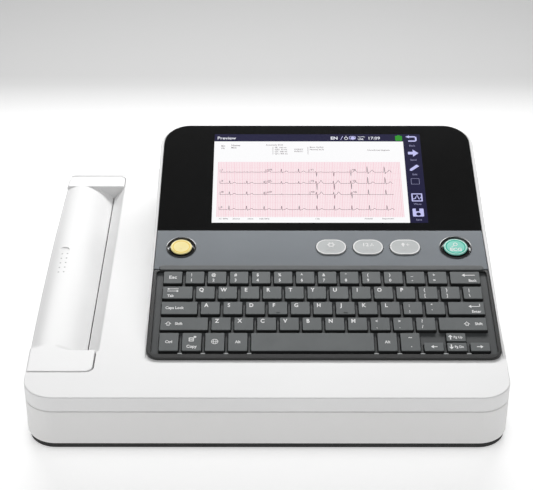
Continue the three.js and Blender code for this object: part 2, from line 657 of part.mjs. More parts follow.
function makeRoundButton({ name, x, radius, colour }) {
  const cap = cylinderZ(radius, x, BUTTON_ROW, -PANEL_THICKNESS, BUTTON_TOP, 32);
  const flange = cylinderZ(radius + 1.5, x, BUTTON_ROW, -PANEL_THICKNESS - 1.6, -PANEL_THICKNESS - GAP, 32);
  const neck = cylinderZ(radius - 1, x, BUTTON_ROW, -PANEL_THICKNESS - 1, -PANEL_THICKNESS + 1, 32);
  return piece(name, union(cap, flange, neck), { color: colour, roughness: 0.35, metalness: 0 });
}

function makeOvalButton({ name, x }) {
  const cap = ovalPrism(x, OVAL_WIDTH, OVAL_DEPTH, -PANEL_THICKNESS, OVAL_TOP);
  const flange = ovalPrism(x, OVAL_WIDTH + 3, OVAL_DEPTH + 3, -PANEL_THICKNESS - 1.6, -PANEL_THICKNESS - GAP);
  const neck = ovalPrism(x, OVAL_WIDTH - 2, OVAL_DEPTH - 2, -PANEL_THICKNESS - 1, -PANEL_THICKNESS + 1);
  return piece(name, union(cap, flange, neck), OVAL_GREY);
}

// ---------------------------------------------------------------- keyboard
// widths in key units, from the left; named keys stand alone, unnamed stretches are banks of single keys
const ROWS = [
  [{ name: "key_escape", units: 1 }, { name: "key_row_digits", count: 12 },
    { name: "key_backspace", units: 1.5 }],
  [{ name: "key_tab", units: 1.5 }, { name: "key_row_upper", count: 13 }],
  [{ name: "key_caps_lock", units: 1.75 }, { name: "key_row_home", count: 11 },
    { name: "key_enter", units: 1.75 }],
  [{ name: "key_shift_left", units: 2.25 }, { name: "key_row_lower", count: 10 },
    { name: "key_shift_right", units: 2.25 }],
  [{ name: "key_control", units: 1 }, { name: "key_copy", units: 1 },
    { name: "key_language", units: 1 },
    { name: "key_alt_left", units: 1 }, { name: "key_space", units: 5.5 },
    { name: "key_alt_right", units: 1 },
    { name: "key_tilde", units: 1 }, { name: "key_left", units: 1, half: "lower" },
    { name: "key_up", units: 0, half: "upper" }, { name: "key_down", units: 1, half: "lower" },
    { name: "key_right", units: 1, half: "lower" }],
];

function rowSpan(row) {
  const back = KEYS_TOP - row * ROW_PITCH;
  if (row < ROWS.length - 1) {
    return [back - KEY_DEPTH, back];
  }
  return [back + FRONT_ROW_SHIFT - FRONT_KEY_DEPTH, back + FRONT_ROW_SHIFT];
}

// every keycap as { name, x0, x1, y0, y1 }, banks give one entry per cap
function keyCaps() {
  const caps = [];
  ROWS.forEach((keys, row) => {
    let x = KEYS_LEFT;
    const [y0, y1] = rowSpan(row);
    const middle = (y0 + y1) / 2;
    for (const { name, units, count, half } of keys) {
      const [a, b] = half === "lower" ? [y0, middle - 0.5] : half === "upper" ? [middle + 0.5, y1] : [y0, y1];
      const widths = count ? Array(count).fill(1) : [units || 1];
      for (const width of widths) {
        caps.push({ name, x0: x, x1: x + width * KEY_PITCH - KEY_GAP, y0: a, y1: b });
        x += units === 0 ? 0 : width * KEY_PITCH;
      }
    }
  });
  return caps;
}

function makeKeys() {
  const banks = new Map();
  for (const cap of keyCaps()) {
    banks.set(cap.name, [...(banks.get(cap.name) || []), cap]);
  }
  return [...banks].map(([name, caps]) => {
    const joined = caps.length > 1;
    const bottom = joined ? BANK_WEB_TOP - BANK_WEB_THICKNESS : KEY_BOTTOM;
    const solids = caps.map(({ x0, x1, y0, y1 }) => box(x0, x1, y0, y1, bottom, KEY_TOP));
    if (joined) {
      const { x0, y0, y1 } = caps[0];
      const { x1 } = caps[caps.length - 1];
      const middle = (y0 + y1) / 2;
      solids.push(box(x0 + 1, x1 - 1, middle - 2, middle + 2, bottom, BANK_WEB_TOP));
    }
    return piece(name, union(...solids), KEY_GREY);
  });
}

function makeKeyboardFrame() {
  const outline = panelOutline(lowerHalf, -LOWER_LENGTH, FRAME_BACK - GAP, 0, FRAME_CORNER, 0);
  let solid = prismZ(outline, -FRAME_DEPTH, 0);
  const wellFront = rowSpan(ROWS.length - 1)[0] - 2;
  const wellRight = KEYS_LEFT + KEY_UNITS * KEY_PITCH - KEY_GAP + 2;
  solid = solid.subtract(box(KEYS_LEFT - 2, wellRight, wellFront, KEYS_TOP + 1.5, -WELL_DEPTH, 20));
  const holes = keyCaps().map(({ x0, x1, y0, y1 }) =>
    box(x0 - KEY_CLEARANCE, x1 + KEY_CLEARANCE, y0 - KEY_CLEARANCE, y1 + KEY_CLEARANCE, -20, 20));
  solid = cut(solid, ...holes);
  return piece("keyboard_frame", solid, FRAME_BLACK);
}

function makeKeyboardBoard() {
  const front = rowSpan(ROWS.length - 1)[0];
  const right = KEYS_LEFT + KEY_UNITS * KEY_PITCH;
  const bottom = BOARD_TOP - BOARD_THICKNESS;
  const board = box(KEYS_LEFT - 1, right, front + 1, BUTTON_ROW + 12, bottom, BOARD_TOP);
  const plug = box(-20, 20, KEYS_TOP - 14, KEYS_TOP - 4, BOARD_TOP - 6, BOARD_TOP - 1);
  return piece("keyboard_board", union(board, plug), BOARD_GREEN);
}

// ---------------------------------------------------------------- boards, power and connectors
const MAIN_BOARD = { left: -22, right: 164, front: -110, back: 60, bottom: 31, thickness: 1.6 };
const SUPPLY = { left: 52, right: 166, front: 72, back: 138, bottom: 10, thickness: 1.8 };
const LID_THICKNESS = 1.6; // battery door

function makeMainBoard() {
  const { left, right, front, back, bottom, thickness } = MAIN_BOARD;
  const board = box(left, right, front, back, bottom, bottom + thickness);
  const shield = box(20, 80, -60, 0, 32, 36);
  const heatSink = box(100, 140, -20, 20, 32, 40);
  const socket = box(-15, 5, -90, -60, 32, 37);
  return piece("main_board", union(board, shield, heatSink, socket), BOARD_GREEN);
}

function makePowerSupply() {
  const { left, right, front, back, bottom, thickness } = SUPPLY;
  const plate = box(left, right, front, back, bottom, bottom + thickness);
  const transformer = box(70, 105, 90, 125, 11, 30);
  const capacitor = cylinderZ(9, 130, 108, 11, 30, 24);
  const filter = box(145, 160, 90, 130, 11, 26);
  return piece("power_supply", union(plate, transformer, capacitor, filter), BOARD_GREEN);
}

function makeBatteryPack() {
  const { x0, x1, y0, y1, z0, z1 } = BATTERY;
  const pack = roundedBox(x0, x1, y0, y1, z0, z1, 4);
  return piece("battery_pack", pack, { color: 0x2a3c66, roughness: 0.5, metalness: 0 });
}

function makeBatteryDoor() {
  const { x0, x1, y0, y1 } = BATTERY_DOOR;
  const plate = roundedBox(x0, x1, y0, y1, FOOT_HEIGHT, FOOT_HEIGHT + LID_THICKNESS, 4);
  const rim = cut(
    box(x0 + 4.4, x1 - 4.4, y0 + 4.4, y1 - 4.4, FOOT_HEIGHT + 1, FLOOR_TOP + 1.5),
    box(x0 + 6, x1 - 6, y0 + 6, y1 - 6, FOOT_HEIGHT + LID_THICKNESS, FLOOR_TOP + 3),
  );
  return piece("battery_door", union(plate, rim), WHITE);
}

function makeFoot(name, [x, y]) {
  const profile = [[0, 0], [6.5, 0], [8, 1.5], [8.5, FOOT_HEIGHT - GAP], [0, FOOT_HEIGHT - GAP]];
  const geometry = new THREE.LatheGeometry(profile.map(([r, z]) => new THREE.Vector2(r, z)), 28);
  geometry.rotateX(Math.PI / 2);
  geometry.translate(x, y, 0);
  return piece(name, toSolid(geometry), RUBBER);
}

const RECESS_WALL = HALF_DEPTH - RECESS.depth; // face that carries the connectors
const PORT_Z = 20.5;
const MAINS = { x: 140, width: 30, height: 20 };
const NETWORK = { x: 60, width: 16, height: 14 };
const USB = { x: 30, width: 15, height: 15.5 };
const EARTH = { x: 100, radius: 3 };

function portHole({ x, width, height }) {
  const y0 = RECESS_WALL - 8;
  return box(x - width / 2 - GAP, x + width / 2 + GAP, y0, RECESS_WALL + 1,
    PORT_Z - height / 2 - GAP, PORT_Z + height / 2 + GAP);
}

function rearPortHoles() {
  const stud = cylinderY(EARTH.radius + GAP, EARTH.x, PORT_Z, RECESS_WALL - 8, RECESS_WALL + 1, 20);
  return [portHole(MAINS), portHole(NETWORK), portHole(USB), stud];
}

function portBody({ x, width, height }, depth, proud) {
  return box(x - width / 2, x + width / 2, RECESS_WALL - depth, RECESS_WALL + proud,
    PORT_Z - height / 2, PORT_Z + height / 2);
}

function makeAcInlet() {
  const y = RECESS_WALL;
  let solid = portBody(MAINS, 20, 2);
  const flange = box(MAINS.x - 25, MAINS.x + 25, y + GAP, y + 2, PORT_Z - 11, PORT_Z + 11);
  const cavity = roundCorners([
    [MAINS.x - 12.3, PORT_Z - 8.2, 1], [MAINS.x + 12.3, PORT_Z - 8.2, 1],
    [MAINS.x + 12.3, PORT_Z + 3.5, 0], [MAINS.x + 7.5, PORT_Z + 8.2, 0],
    [MAINS.x - 7.5, PORT_Z + 8.2, 0], [MAINS.x - 12.3, PORT_Z + 3.5, 0],
  ], 3);
  solid = union(solid, flange).subtract(prismY(cavity, y - 15, y + 5));
  for (const [dx, dz] of [[-7, -2], [0, 2], [7, -2]]) {
    const x = MAINS.x + dx;
    const z = PORT_Z + dz;
    solid = solid.add(box(x - 1, x + 1, y - 16, y - 5, z - 2, z + 2));
  }
  return piece("ac_inlet", solid, FRAME_BLACK);
}

function makeNetworkPort() {
  const back = RECESS_WALL + 5;
  const cavity = box(NETWORK.x - 6, NETWORK.x + 6, RECESS_WALL - 13, back, PORT_Z - 4.5, PORT_Z + 4.5);
  const latch = box(NETWORK.x - 2.5, NETWORK.x + 2.5, RECESS_WALL - 13, back, PORT_Z - 6, PORT_Z);
  return piece("network_port", cut(portBody(NETWORK, 18, 0.6), cavity, latch), STEEL);
}

function makeUsbPort() {
  let solid = portBody(USB, 16, 0.6);
  for (const dz of [-3.7, 3.7]) {
    const z = PORT_Z + dz;
    const mouth = box(USB.x - 6.3, USB.x + 6.3, RECESS_WALL - 12, RECESS_WALL + 5, z - 2.5, z + 2.5);
    solid = solid.subtract(mouth);
    solid = solid.add(box(USB.x - 5.5, USB.x + 5.5, RECESS_WALL - 13, RECESS_WALL - 5, z - 0.2, z + 1.8));
  }
  return piece("usb_port", solid, STEEL);
}

function makeGroundStud() {
  const y = RECESS_WALL;
  const shaft = cylinderY(EARTH.radius, EARTH.x, PORT_Z, y - 9, y + 8.5, 20);
  const nut = cylinderY(6, EARTH.x, PORT_Z, y + GAP, y + 4, 6);
  const backNut = cylinderY(6, EARTH.x, PORT_Z, y - 7, y - WALL - GAP, 6);
  return piece("ground_stud", union(shaft, nut, backNut), STEEL);
}

function makePatientConnector() {
  const { y, z, width, height } = PATIENT;
  const flange = box(176, 180.5, y - width / 2, y + width / 2, z - height / 2, z + height / 2);
  const inside = box(160, 177, y - width / 2 + 5, y + width / 2 - 5, z - 4, z + 4);
  let solid = union(flange, inside);
  for (let k = -3; k <= 4; k += 1) {
    solid = solid.subtract(box(178, 182, y + k * 2.77 - 1.9, y + k * 2.77 - 0.9, z + 0.9, z + 1.9));
  }
  for (let k = -3; k <= 3; k += 1) {
    solid = solid.subtract(box(178, 182, y + k * 2.77 - 0.5, y + k * 2.77 + 0.5, z - 1.9, z - 0.9));
  }
  return piece("patient_connector", solid, FRAME_BLACK);
}

function makeSpeaker() {
  const { x, y, radius } = SPEAKER;
  const z = FLOOR_TOP + GAP;
  const rim = cylinderZ(radius + 3, x, y, z, z + 3, 28);
  const magnet = cylinderZ(radius - 5, x, y, z + 2, z + 12, 28);
  const cone = cylinderZ(radius, x, y, z - 1, z + 1.5, 28);
  return piece("speaker", union(rim, magnet).subtract(cone), FRAME_BLACK);
}

function makeScrew(name, [x, y]) {
  const head = cylinderZ(3.1, x, y, FOOT_HEIGHT + 0.2, FOOT_HEIGHT + 2, 16);
  const shaft = cylinderZ(1.3, x, y, FOOT_HEIGHT + 1.5, DECK_Z - 5, 12);
  const cross = [box(x - 2, x + 2, y - 0.5, y + 0.5, 0, 6.2), box(x - 0.5, x + 0.5, y - 2, y + 2, 0, 6.2)];
  return piece(name, cut(union(head, shaft), ...cross), STEEL);
}

// ---------------------------------------------------------------- assembly
function groupAt(tilt, meshes) {
  const group = new THREE.Group();
  group.position.set(CONSOLE_X, JUNCTION_Y, JUNCTION_Z);
  group.rotation.x = tilt;
  group.add(...meshes);
  return group;
}

const corners = ["front_left", "front_right", "rear_right", "rear_left"];
const machine = new THREE.Group();
machine.add(makeBottomCase(), makeTopCase());
machine.add(groupAt(UPPER_TILT, [makeDisplayWindow(), makeLcdModule()]));
machine.add(groupAt(LOWER_TILT, [
  makeButtonPanel(),
  ...ROUND_BUTTONS.map(makeRoundButton),
  ...OVAL_BUTTONS.map(makeOvalButton),
  makeKeyboardFrame(),
  makeKeyboardBoard(),
  ...makeKeys(),
]));
machine.add(makeRecorderDoor(), makePaperTray(), makePaperStack(), makePlatenRoller(), makePlatenGear());
machine.add(makeMotorPinion(), makePaperMotor(), makePrintHead());
machine.add(makeMainBoard(), makePowerSupply(), makeBatteryPack(), makeBatteryDoor(), makeSpeaker());
machine.add(makeAcInlet(), makeNetworkPort(), makeUsbPort(), makeGroundStud(), makePatientConnector());
machine.add(...corners.map((corner, i) => makeFoot(`foot_${corner}`, FOOT_PLACES[i])));
machine.add(...corners.map((corner, i) => makeScrew(`screw_${corner}`, SCREW_PLACES[i])));

export default machine;
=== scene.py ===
"""Looks of the desktop ECG machine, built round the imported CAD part.

Shapes are laid out in millimetres and become metres when a mesh is made. The console's pieces are laid out
in two tilted frames that start where its two planes meet: x across, y up the slope, z out of the panel.
"""

import json
import math

import bmesh
import bpy
from mathutils import Matrix, Vector


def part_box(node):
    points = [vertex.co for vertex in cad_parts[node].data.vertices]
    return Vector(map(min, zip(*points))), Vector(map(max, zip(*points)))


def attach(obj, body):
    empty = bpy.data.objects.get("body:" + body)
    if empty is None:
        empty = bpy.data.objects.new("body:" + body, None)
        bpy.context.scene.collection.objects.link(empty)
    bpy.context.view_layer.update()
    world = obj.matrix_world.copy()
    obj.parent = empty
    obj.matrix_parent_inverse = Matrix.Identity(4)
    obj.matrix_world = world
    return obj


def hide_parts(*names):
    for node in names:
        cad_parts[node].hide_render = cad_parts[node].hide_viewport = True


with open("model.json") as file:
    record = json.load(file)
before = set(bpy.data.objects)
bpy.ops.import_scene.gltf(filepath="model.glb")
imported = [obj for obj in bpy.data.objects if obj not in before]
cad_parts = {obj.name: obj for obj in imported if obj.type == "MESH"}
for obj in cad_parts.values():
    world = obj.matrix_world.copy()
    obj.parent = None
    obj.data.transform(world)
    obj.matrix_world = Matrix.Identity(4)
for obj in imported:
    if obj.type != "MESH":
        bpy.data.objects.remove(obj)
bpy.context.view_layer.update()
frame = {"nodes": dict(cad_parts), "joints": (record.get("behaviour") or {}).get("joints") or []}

MM = 0.001
GAP = 0.3  # play between neighbouring pieces
SHARP_ANGLE = math.radians(32)

# body, as in the CAD part
HALF_WIDTH = 180
SIDE_BOW = 2
HALF_DEPTH = 170
CORNER_RADIUS = 23
WALL = 2.8
CASE_BOTTOM = 5
SEAM_Z = 35
DECK_Z = 48
FLOOR_TOP = CASE_BOTTOM + WALL

# console
CONSOLE_LEFT = -92.4
CONSOLE_FRONT = -127.8
CONSOLE_BACK = 160
HALF_FRONT = 134.7
HALF_BACK = 132.2
LOWER_LENGTH = 145.5
UPPER_LENGTH = 127
PANEL_TOP_RADIUS = 22
FRAME_BACK = -47
FRAME_DEPTH = 5.5

# recorder
DOOR_RIGHT = -128.6
BAR_RIGHT = -130
DOOR_FRONT = -138.5
DOOR_BACK = 156
DOOR_RADIUS = 6
DOOR_BOTTOM = 8.4
BAR_REAR = -111.3
BLOCK_FRONT = 138
SLOT_X = -139.4
SLOT_WIDTH = 1.2
VALLEY_Z = 35.6
CROWN_X = -167
CROWN_RADIUS = 30


# ---------------------------------------------------------------- materials
GRAIN_DEPTH = 0.0002  # metres, as are the two sizes of the chart paper
PAPER_SQUARE = 0.005
PAPER_LINE = 0.00018
PIXEL_GRAIN = 2600


def node_material(name):
    made = bpy.data.materials.new(name)
    made.use_nodes = True
    return made, made.node_tree.nodes, made.node_tree.links


def fill(node, values):
    """Sets a node's inputs by name."""
    for name, value in values.items():
        node.inputs[name].default_value = value


def noise(nodes, links, scale, detail=3.0, stretch=None):
    """Noise texture in the object's own coordinates; stretch scales them along the axes first."""
    source = nodes.new("ShaderNodeTexCoord").outputs["Object"]
    if stretch:
        mapping = nodes.new("ShaderNodeMapping")
        fill(mapping, {"Scale": stretch})
        links.new(source, mapping.inputs["Vector"])
        source = mapping.outputs["Vector"]
    texture = nodes.new("ShaderNodeTexNoise")
    fill(texture, {"Scale": scale, "Detail": detail})
    links.new(source, texture.inputs["Vector"])
    return texture.outputs["Fac"]


def ramp(nodes, links, source, stops):
    made = nodes.new("ShaderNodeValToRGB")
    links.new(source, made.inputs["Fac"])
    elements = made.color_ramp.elements
    while len(elements) < len(stops):
        elements.new(0.5)
    for element, (place, colour) in zip(elements, stops):
        element.position = place
        element.color = (*colour, 1)
    return made.outputs["Color"]


def add_relief(nodes, links, shader, height, strength):
    """Fine relief on a surface, from a texture's values."""
    relief = nodes.new("ShaderNodeBump")
    fill(relief, {"Strength": strength, "Distance": GRAIN_DEPTH})
    links.new(height, relief.inputs["Height"])
    links.new(relief.outputs["Normal"], shader.inputs["Normal"])


def surface(name, dark, light, rough, grain=900, bump=0.05, blotch=30, metallic=0.0, coat=0.0, stretch=None,
            shine=0.5):
    """Moulded or milled surface: slow colour variation, fine grain in its roughness and relief."""
    made, nodes, links = node_material(name)
    shader = nodes["Principled BSDF"]
    fill(shader, {"Metallic": metallic, "Specular IOR Level": shine})
    fill(shader, {"Coat Weight": coat, "Coat Roughness": 0.08})
    slow = noise(nodes, links, blotch, 4.0, stretch)
    links.new(ramp(nodes, links, slow, [(0.3, dark), (0.7, light)]), shader.inputs["Base Color"])
    fine = noise(nodes, links, grain, 2.0, stretch)
    spread = nodes.new("ShaderNodeMapRange")
    fill(spread, {"To Min": rough[0], "To Max": rough[1]})
    links.new(fine, spread.inputs["Value"])
    links.new(spread.outputs["Result"], shader.inputs["Roughness"])
    add_relief(nodes, links, shader, fine, bump)
    return made


def glowing(name, dark, light):
    """Lit part of the display: a fine pixel pattern under a smooth film."""
    made, nodes, links = node_material(name)
    shader = nodes["Principled BSDF"]
    fill(shader, {"Base Color": (0.01, 0.01, 0.012, 1), "Roughness": 0.25, "Specular IOR Level": 0.05})
    colour = ramp(nodes, links, noise(nodes, links, PIXEL_GRAIN, 1.0), [(0.35, dark), (0.65, light)])
    links.new(colour, shader.inputs["Emission Color"])
    fill(shader, {"Emission Strength": 1.0})
    return made


def shade(value, tint=(1.0, 1.0, 1.0)):
    return tuple(value * part for part in tint)


WHITE = surface("white_plastic", shade(0.815), shade(0.84), (0.38, 0.5), 1400, 0.06, 9)
WARM_WHITE = surface("warm_white_plastic", shade(0.80, (1, 0.995, 0.985)), shade(0.82, (1, 0.995, 0.99)),
                     (0.4, 0.52), 1400, 0.06, 9)
DOOR_WHITE = surface("door_plastic", shade(0.80), shade(0.82), (0.34, 0.44), 1400, 0.06, 9)
GRIP = surface("grip_grey", shade(0.46), shade(0.52), (0.5, 0.6), 1400, 0.06, 90)
GLASS = surface("black_glass", shade(0.005), shade(0.008, (0.95, 1, 1.05)), (0.08, 0.14), 300, 0.0, 8,
                shine=0.22)
PANEL = surface("panel_paint", (0.094, 0.106, 0.118), (0.124, 0.139, 0.155), (0.38, 0.46), 1800, 0.08, 6,
                0.35, stretch=(1, 2.2, 1))
FRAME = surface("frame_plastic", shade(0.018), shade(0.026, (0.95, 1, 1.02)), (0.26, 0.36), 1200, 0.06, 40,
                coat=0.2)
# well floor: a lighter copy of the tray's black, painted light where light falls between the keys
LIT_PLATE = surface("key_plate_painted_light", (0.040, 0.044, 0.046), (0.050, 0.055, 0.057), (0.4, 0.5), 1800, 0.08, 60,
                shine=0.35)
RIDGE = surface("ridge_plastic", (0.050, 0.055, 0.057), (0.062, 0.068, 0.070), (0.36, 0.46), 1800, 0.08, 30)
KEYCAP = surface("keycap_plastic", (0.098, 0.108, 0.110), (0.114, 0.124, 0.127), (0.42, 0.55), 2600, 0.12, 60,
                 shine=0.35)
# keycap sides: a darker copy of the keycap plastic, painted shade on the key walls
KEY_SIDE_SHADE = surface("keycap_side", shade(0.022), shade(0.03, (0.95, 1, 1.02)), (0.5, 0.6), 2600, 0.12, 60)
LEGEND = surface("legend_ink", shade(0.78), shade(0.88), (0.5, 0.6), 2000, 0.05)
FAINT = surface("faint_ink", shade(0.50), shade(0.60), (0.5, 0.6), 2000, 0.05)
YELLOW = surface("yellow_cap", (0.84, 0.57, 0.05), (0.94, 0.68, 0.08), (0.34, 0.44), 1600, 0.04, 90)
# pale copy of the yellow cap: painted highlight on the cap's rounded edge, and the colour of its printed
# symbol
YELLOW_SHEEN_AND_PRINT = surface("yellow_cap_edge", (0.93, 0.78, 0.28), (0.97, 0.84, 0.38), (0.3, 0.4), 1600, 0.04, 90)
GREEN = surface("green_cap", (0.01, 0.46, 0.32), (0.025, 0.55, 0.39), (0.34, 0.44), 1600, 0.04, 90, shine=0.2)
# pale copy of the green cap: painted highlight on the cap's rounded edge
GREEN_SHEEN = surface("green_cap_edge", (0.16, 0.62, 0.50), (0.24, 0.72, 0.60), (0.3, 0.4), 1600, 0.04, 90)
OVAL = surface("oval_cap", (0.46, 0.48, 0.48), (0.54, 0.56, 0.56), (0.42, 0.52), 1800, 0.06, 60)
# black of the button dishes, also painted on the caps' stems as shade
DISH_BLACK_AND_SHADE = surface("dish_black_and_painted_shade", shade(0.012), shade(0.02), (0.10, 0.18), 900, 0.02, 60, coat=0.6)
LIP = surface("polished_lip", shade(0.10), shade(0.14), (0.12, 0.2), 900, 0.02, 60, 0.9)
STEEL = surface("sheet_steel", (0.42, 0.43, 0.44), (0.55, 0.56, 0.57), (0.3, 0.45), 900, 0.08, 40, 1.0,
                stretch=(1, 6, 1))
BRASS = surface("turned_brass", (0.50, 0.36, 0.12), (0.64, 0.48, 0.2), (0.25, 0.38), 1500, 0.06, 60, 1.0)
RUBBER = surface("rubber", shade(0.016), shade(0.028), (0.75, 0.9), 1600, 0.25, 50)
NYLON = surface("nylon", (0.62, 0.59, 0.50), (0.72, 0.69, 0.60), (0.4, 0.5), 1400, 0.08, 40)
BOARD = surface("circuit_board", (0.012, 0.085, 0.045), (0.02, 0.13, 0.07), (0.35, 0.5), 700, 0.12, 160)
WRAP = surface("battery_wrap", (0.02, 0.045, 0.13), (0.03, 0.06, 0.17), (0.3, 0.42), 900, 0.05, 60)
CONNECTOR = surface("connector_plastic", shade(0.014), shade(0.022), (0.4, 0.55), 1400, 0.1, 60)
DARK_METAL = surface("dark_metal", shade(0.10), shade(0.15), (0.35, 0.5), 900, 0.06, 40, 0.8)


def paper_material():
    """Fan-fold chart paper: pink squares printed on a warm white sheet."""
    made, nodes, links = node_material("chart_paper")
    shader = nodes["Principled BSDF"]
    place = nodes.new("ShaderNodeTexCoord")
    bricks = nodes.new("ShaderNodeTexBrick")
    bricks.offset = 0.0
    fill(bricks, {"Scale": 1.0, "Mortar Size": PAPER_LINE})
    fill(bricks, {"Brick Width": PAPER_SQUARE, "Row Height": PAPER_SQUARE})
    fill(bricks, {"Color1": (0.86, 0.77, 0.75, 1), "Color2": (0.84, 0.75, 0.73, 1)})
    fill(bricks, {"Mortar": (0.80, 0.45, 0.45, 1)})
    links.new(place.outputs["Object"], bricks.inputs["Vector"])
    links.new(bricks.outputs["Color"], shader.inputs["Base Color"])
    fill(shader, {"Roughness": 0.85})
    add_relief(nodes, links, shader, noise(nodes, links, 1200), 0.15)
    return made


PAPER = paper_material()
NAVY = glowing("screen_navy", (0.006, 0.005, 0.034), (0.008, 0.007, 0.042))
PAGE = glowing("screen_page", (0.93, 0.93, 0.94), (0.98, 0.98, 0.985))
PINK = glowing("screen_pink", (0.955, 0.825, 0.85), (0.97, 0.85, 0.875))
GRID = glowing("screen_grid", (0.86, 0.56, 0.62), (0.90, 0.60, 0.66))
TRACE = glowing("screen_trace", (0.10, 0.07, 0.09), (0.16, 0.12, 0.14))
SCREEN_TEXT = glowing("screen_text", (0.80, 0.82, 0.92), (0.90, 0.92, 0.98))
SCREEN_ICON = glowing("screen_icon", (0.50, 0.50, 0.85), (0.60, 0.60, 0.95))
SCREEN_DIM = glowing("screen_dim", (0.26, 0.26, 0.42), (0.32, 0.32, 0.50))
SCREEN_GREEN = glowing("screen_green", (0.02, 0.26, 0.015), (0.03, 0.33, 0.02))


# ---------------------------------------------------------------- meshes
class Shape:
    """Surfaces in millimetres, gathered into one object."""

    def __init__(self):
        self.points = []
        self.faces = []
        self.looks = []

    def add(self, skin, look=0, place=Matrix()):
        points, faces = skin
        start = len(self.points)
        self.points += [place @ Vector(point) for point in points]
        self.faces += [[start + i for i in face] for face in faces]
        self.looks += look if isinstance(look, list) else [look] * len(faces)
        return self

    def make(self, name, looks):
        mesh = bpy.data.meshes.new(name)
        mesh.from_pydata([point * MM for point in self.points], [], self.faces)
        for look in looks:
            mesh.materials.append(look)
        mesh.polygons.foreach_set("material_index", self.looks)
        clean(mesh)
        made = bpy.data.objects.new(name, mesh)
        bpy.context.scene.collection.objects.link(made)
        return made


def clean(mesh):
    """Faces outwards, smooth shading with sharp edges kept."""
    work = bmesh.new()
    work.from_mesh(mesh)
    bmesh.ops.recalc_face_normals(work, faces=work.faces)
    work.to_mesh(mesh)
    work.free()
    mesh.shade_smooth()
    mesh.set_sharp_from_angle(angle=SHARP_ANGLE)


def settle(piece):
    """The piece's modifiers are applied to its mesh."""
    bpy.context.view_layer.update()
    graph = bpy.context.evaluated_depsgraph_get()
    made = bpy.data.meshes.new_from_object(piece.evaluated_get(graph))
    old = piece.data
    piece.modifiers.clear()
    piece.data = made
    made.name = piece.name
    bpy.data.meshes.remove(old)
    clean(made)


def carve(piece, cutter, operation="DIFFERENCE"):
    """Takes a shape away from a piece, or joins it on."""
    tool = cutter.make("cutter", [])
    change = piece.modifiers.new("carve", "BOOLEAN")
    change.operation = operation
    change.solver = "EXACT"
    change.object = tool
    settle(piece)
    bpy.data.objects.remove(tool)


def join(piece, other):
    """Adds another mesh to a piece; both keep their own closed skins."""
    work = bmesh.new()
    work.from_mesh(piece.data)
    work.from_mesh(other.data)
    work.to_mesh(piece.data)
    work.free()
    bpy.data.objects.remove(other)
    clean(piece.data)


def paint_faces(piece, place, chosen, look):
    """Gives a look to the faces whose centre in a frame and own direction pass a test."""
    back = place.inverted()
    for face in piece.data.polygons:
        if chosen(back @ (face.center / MM), face.normal):
            face.material_index = look


def present(piece, body, replaced=()):
    """Hands a finished piece over: broad faces keep their own normals, so that only rounded edges turn."""
    normals = piece.modifiers.new("normals", "WEIGHTED_NORMAL")
    normals.keep_sharp = True
    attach(piece, body)
    if replaced:
        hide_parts(*replaced)
    return piece


def loft(rings, closed=False):
    """Skin through equal rings of points, with end faces, or joined round when it is closed."""
    size = len(rings[0])
    count = len(rings)
    points = [point for ring in rings for point in ring]
    faces = []
    for k in range(count if closed else count - 1):
        here = k * size
        there = (k + 1) % count * size
        for i in range(size):
            j = (i + 1) % size
            faces.append((here + i, here + j, there + j, there + i))
    if not closed:
        faces.append(tuple(reversed(range(size))))
        faces.append(tuple(range((count - 1) * size, count * size)))
    return points, faces


def quarter(steps):
    return [math.pi / 2 * k / steps for k in range(steps + 1)]


def full_turn(sides):
    return [2 * math.pi * k / sides for k in range(sides)]


def inset(points, distance):
    """Closed outline moved inwards, by one distance or by one for each point."""
    amounts = distance if isinstance(distance, list) else [distance] * len(points)
    made = []
    for i, point in enumerate(points):
        here = Vector(point)
        along = (here - Vector(points[i - 1])).normalized()
        onward = (Vector(points[(i + 1) % len(points)]) - here).normalized()
        first = Vector((-along.y, along.x))
        second = Vector((-onward.y, onward.x))
        middle = (first + second).normalized()
        reach = amounts[i] / max(middle.dot(first), 0.35)
        made.append(tuple(here + middle * reach))
    return made


def lifted(points, z):
    return [(x, y, z) for x, y in points]


def slab(outline, low, high, top=0.0, bottom=0.0, steps=3):
    """Plate between two heights, its top and bottom edges rounded."""
    rings = []
    if bottom:
        for a in quarter(steps):
            rings.append(lifted(inset(outline, bottom * (1 - math.sin(a))), low + bottom * (1 - math.cos(a))))
    else:
        rings.append(lifted(outline, low))
    if top:
        for a in quarter(steps):
            rings.append(lifted(inset(outline, top * (1 - math.cos(a))), high - top * (1 - math.sin(a))))
    else:
        rings.append(lifted(outline, high))
    return loft(rings)


def round_corners(corners, steps=8):
    """Outline through corners (x, y, radius), each rounded to an arc; a radius of 0 keeps a corner sharp."""
    points = []
    for i, (x, y, radius) in enumerate(corners):
        if not radius:
            points.append((x, y))
            continue
        here = Vector((x, y))
        before = (Vector(corners[i - 1][:2]) - here).normalized()
        after = (Vector(corners[(i + 1) % len(corners)][:2]) - here).normalized()
        half = math.acos(max(-1.0, min(1.0, before.dot(after)))) / 2
        centre = here + (before + after).normalized() * radius / math.sin(half)
        start = here + before * radius / math.tan(half) - centre
        end = here + after * radius / math.tan(half) - centre
        first = math.atan2(start.y, start.x)
        sweep = (math.atan2(end.y, end.x) - first + math.pi) % (2 * math.pi) - math.pi
        for k in range(steps + 1):
            angle = first + sweep * k / steps
            points.append((centre.x + radius * math.cos(angle), centre.y + radius * math.sin(angle)))
    return points


def rectangle(x0, x1, y0, y1, radius=0.0, steps=5):
    return round_corners([(x0, y0, radius), (x1, y0, radius), (x1, y1, radius), (x0, y1, radius)], steps)


def block(x0, x1, y0, y1, z0, z1):
    return slab(rectangle(x0, x1, y0, y1), z0, z1)


def lathe(profile, sides=48, closed=False):
    """Profile of (radius, height) pairs turned round the z axis."""
    rings = []
    for radius, height in profile:
        rings.append([(radius * math.cos(a), radius * math.sin(a), height) for a in full_turn(sides)])
    return loft(rings, closed)


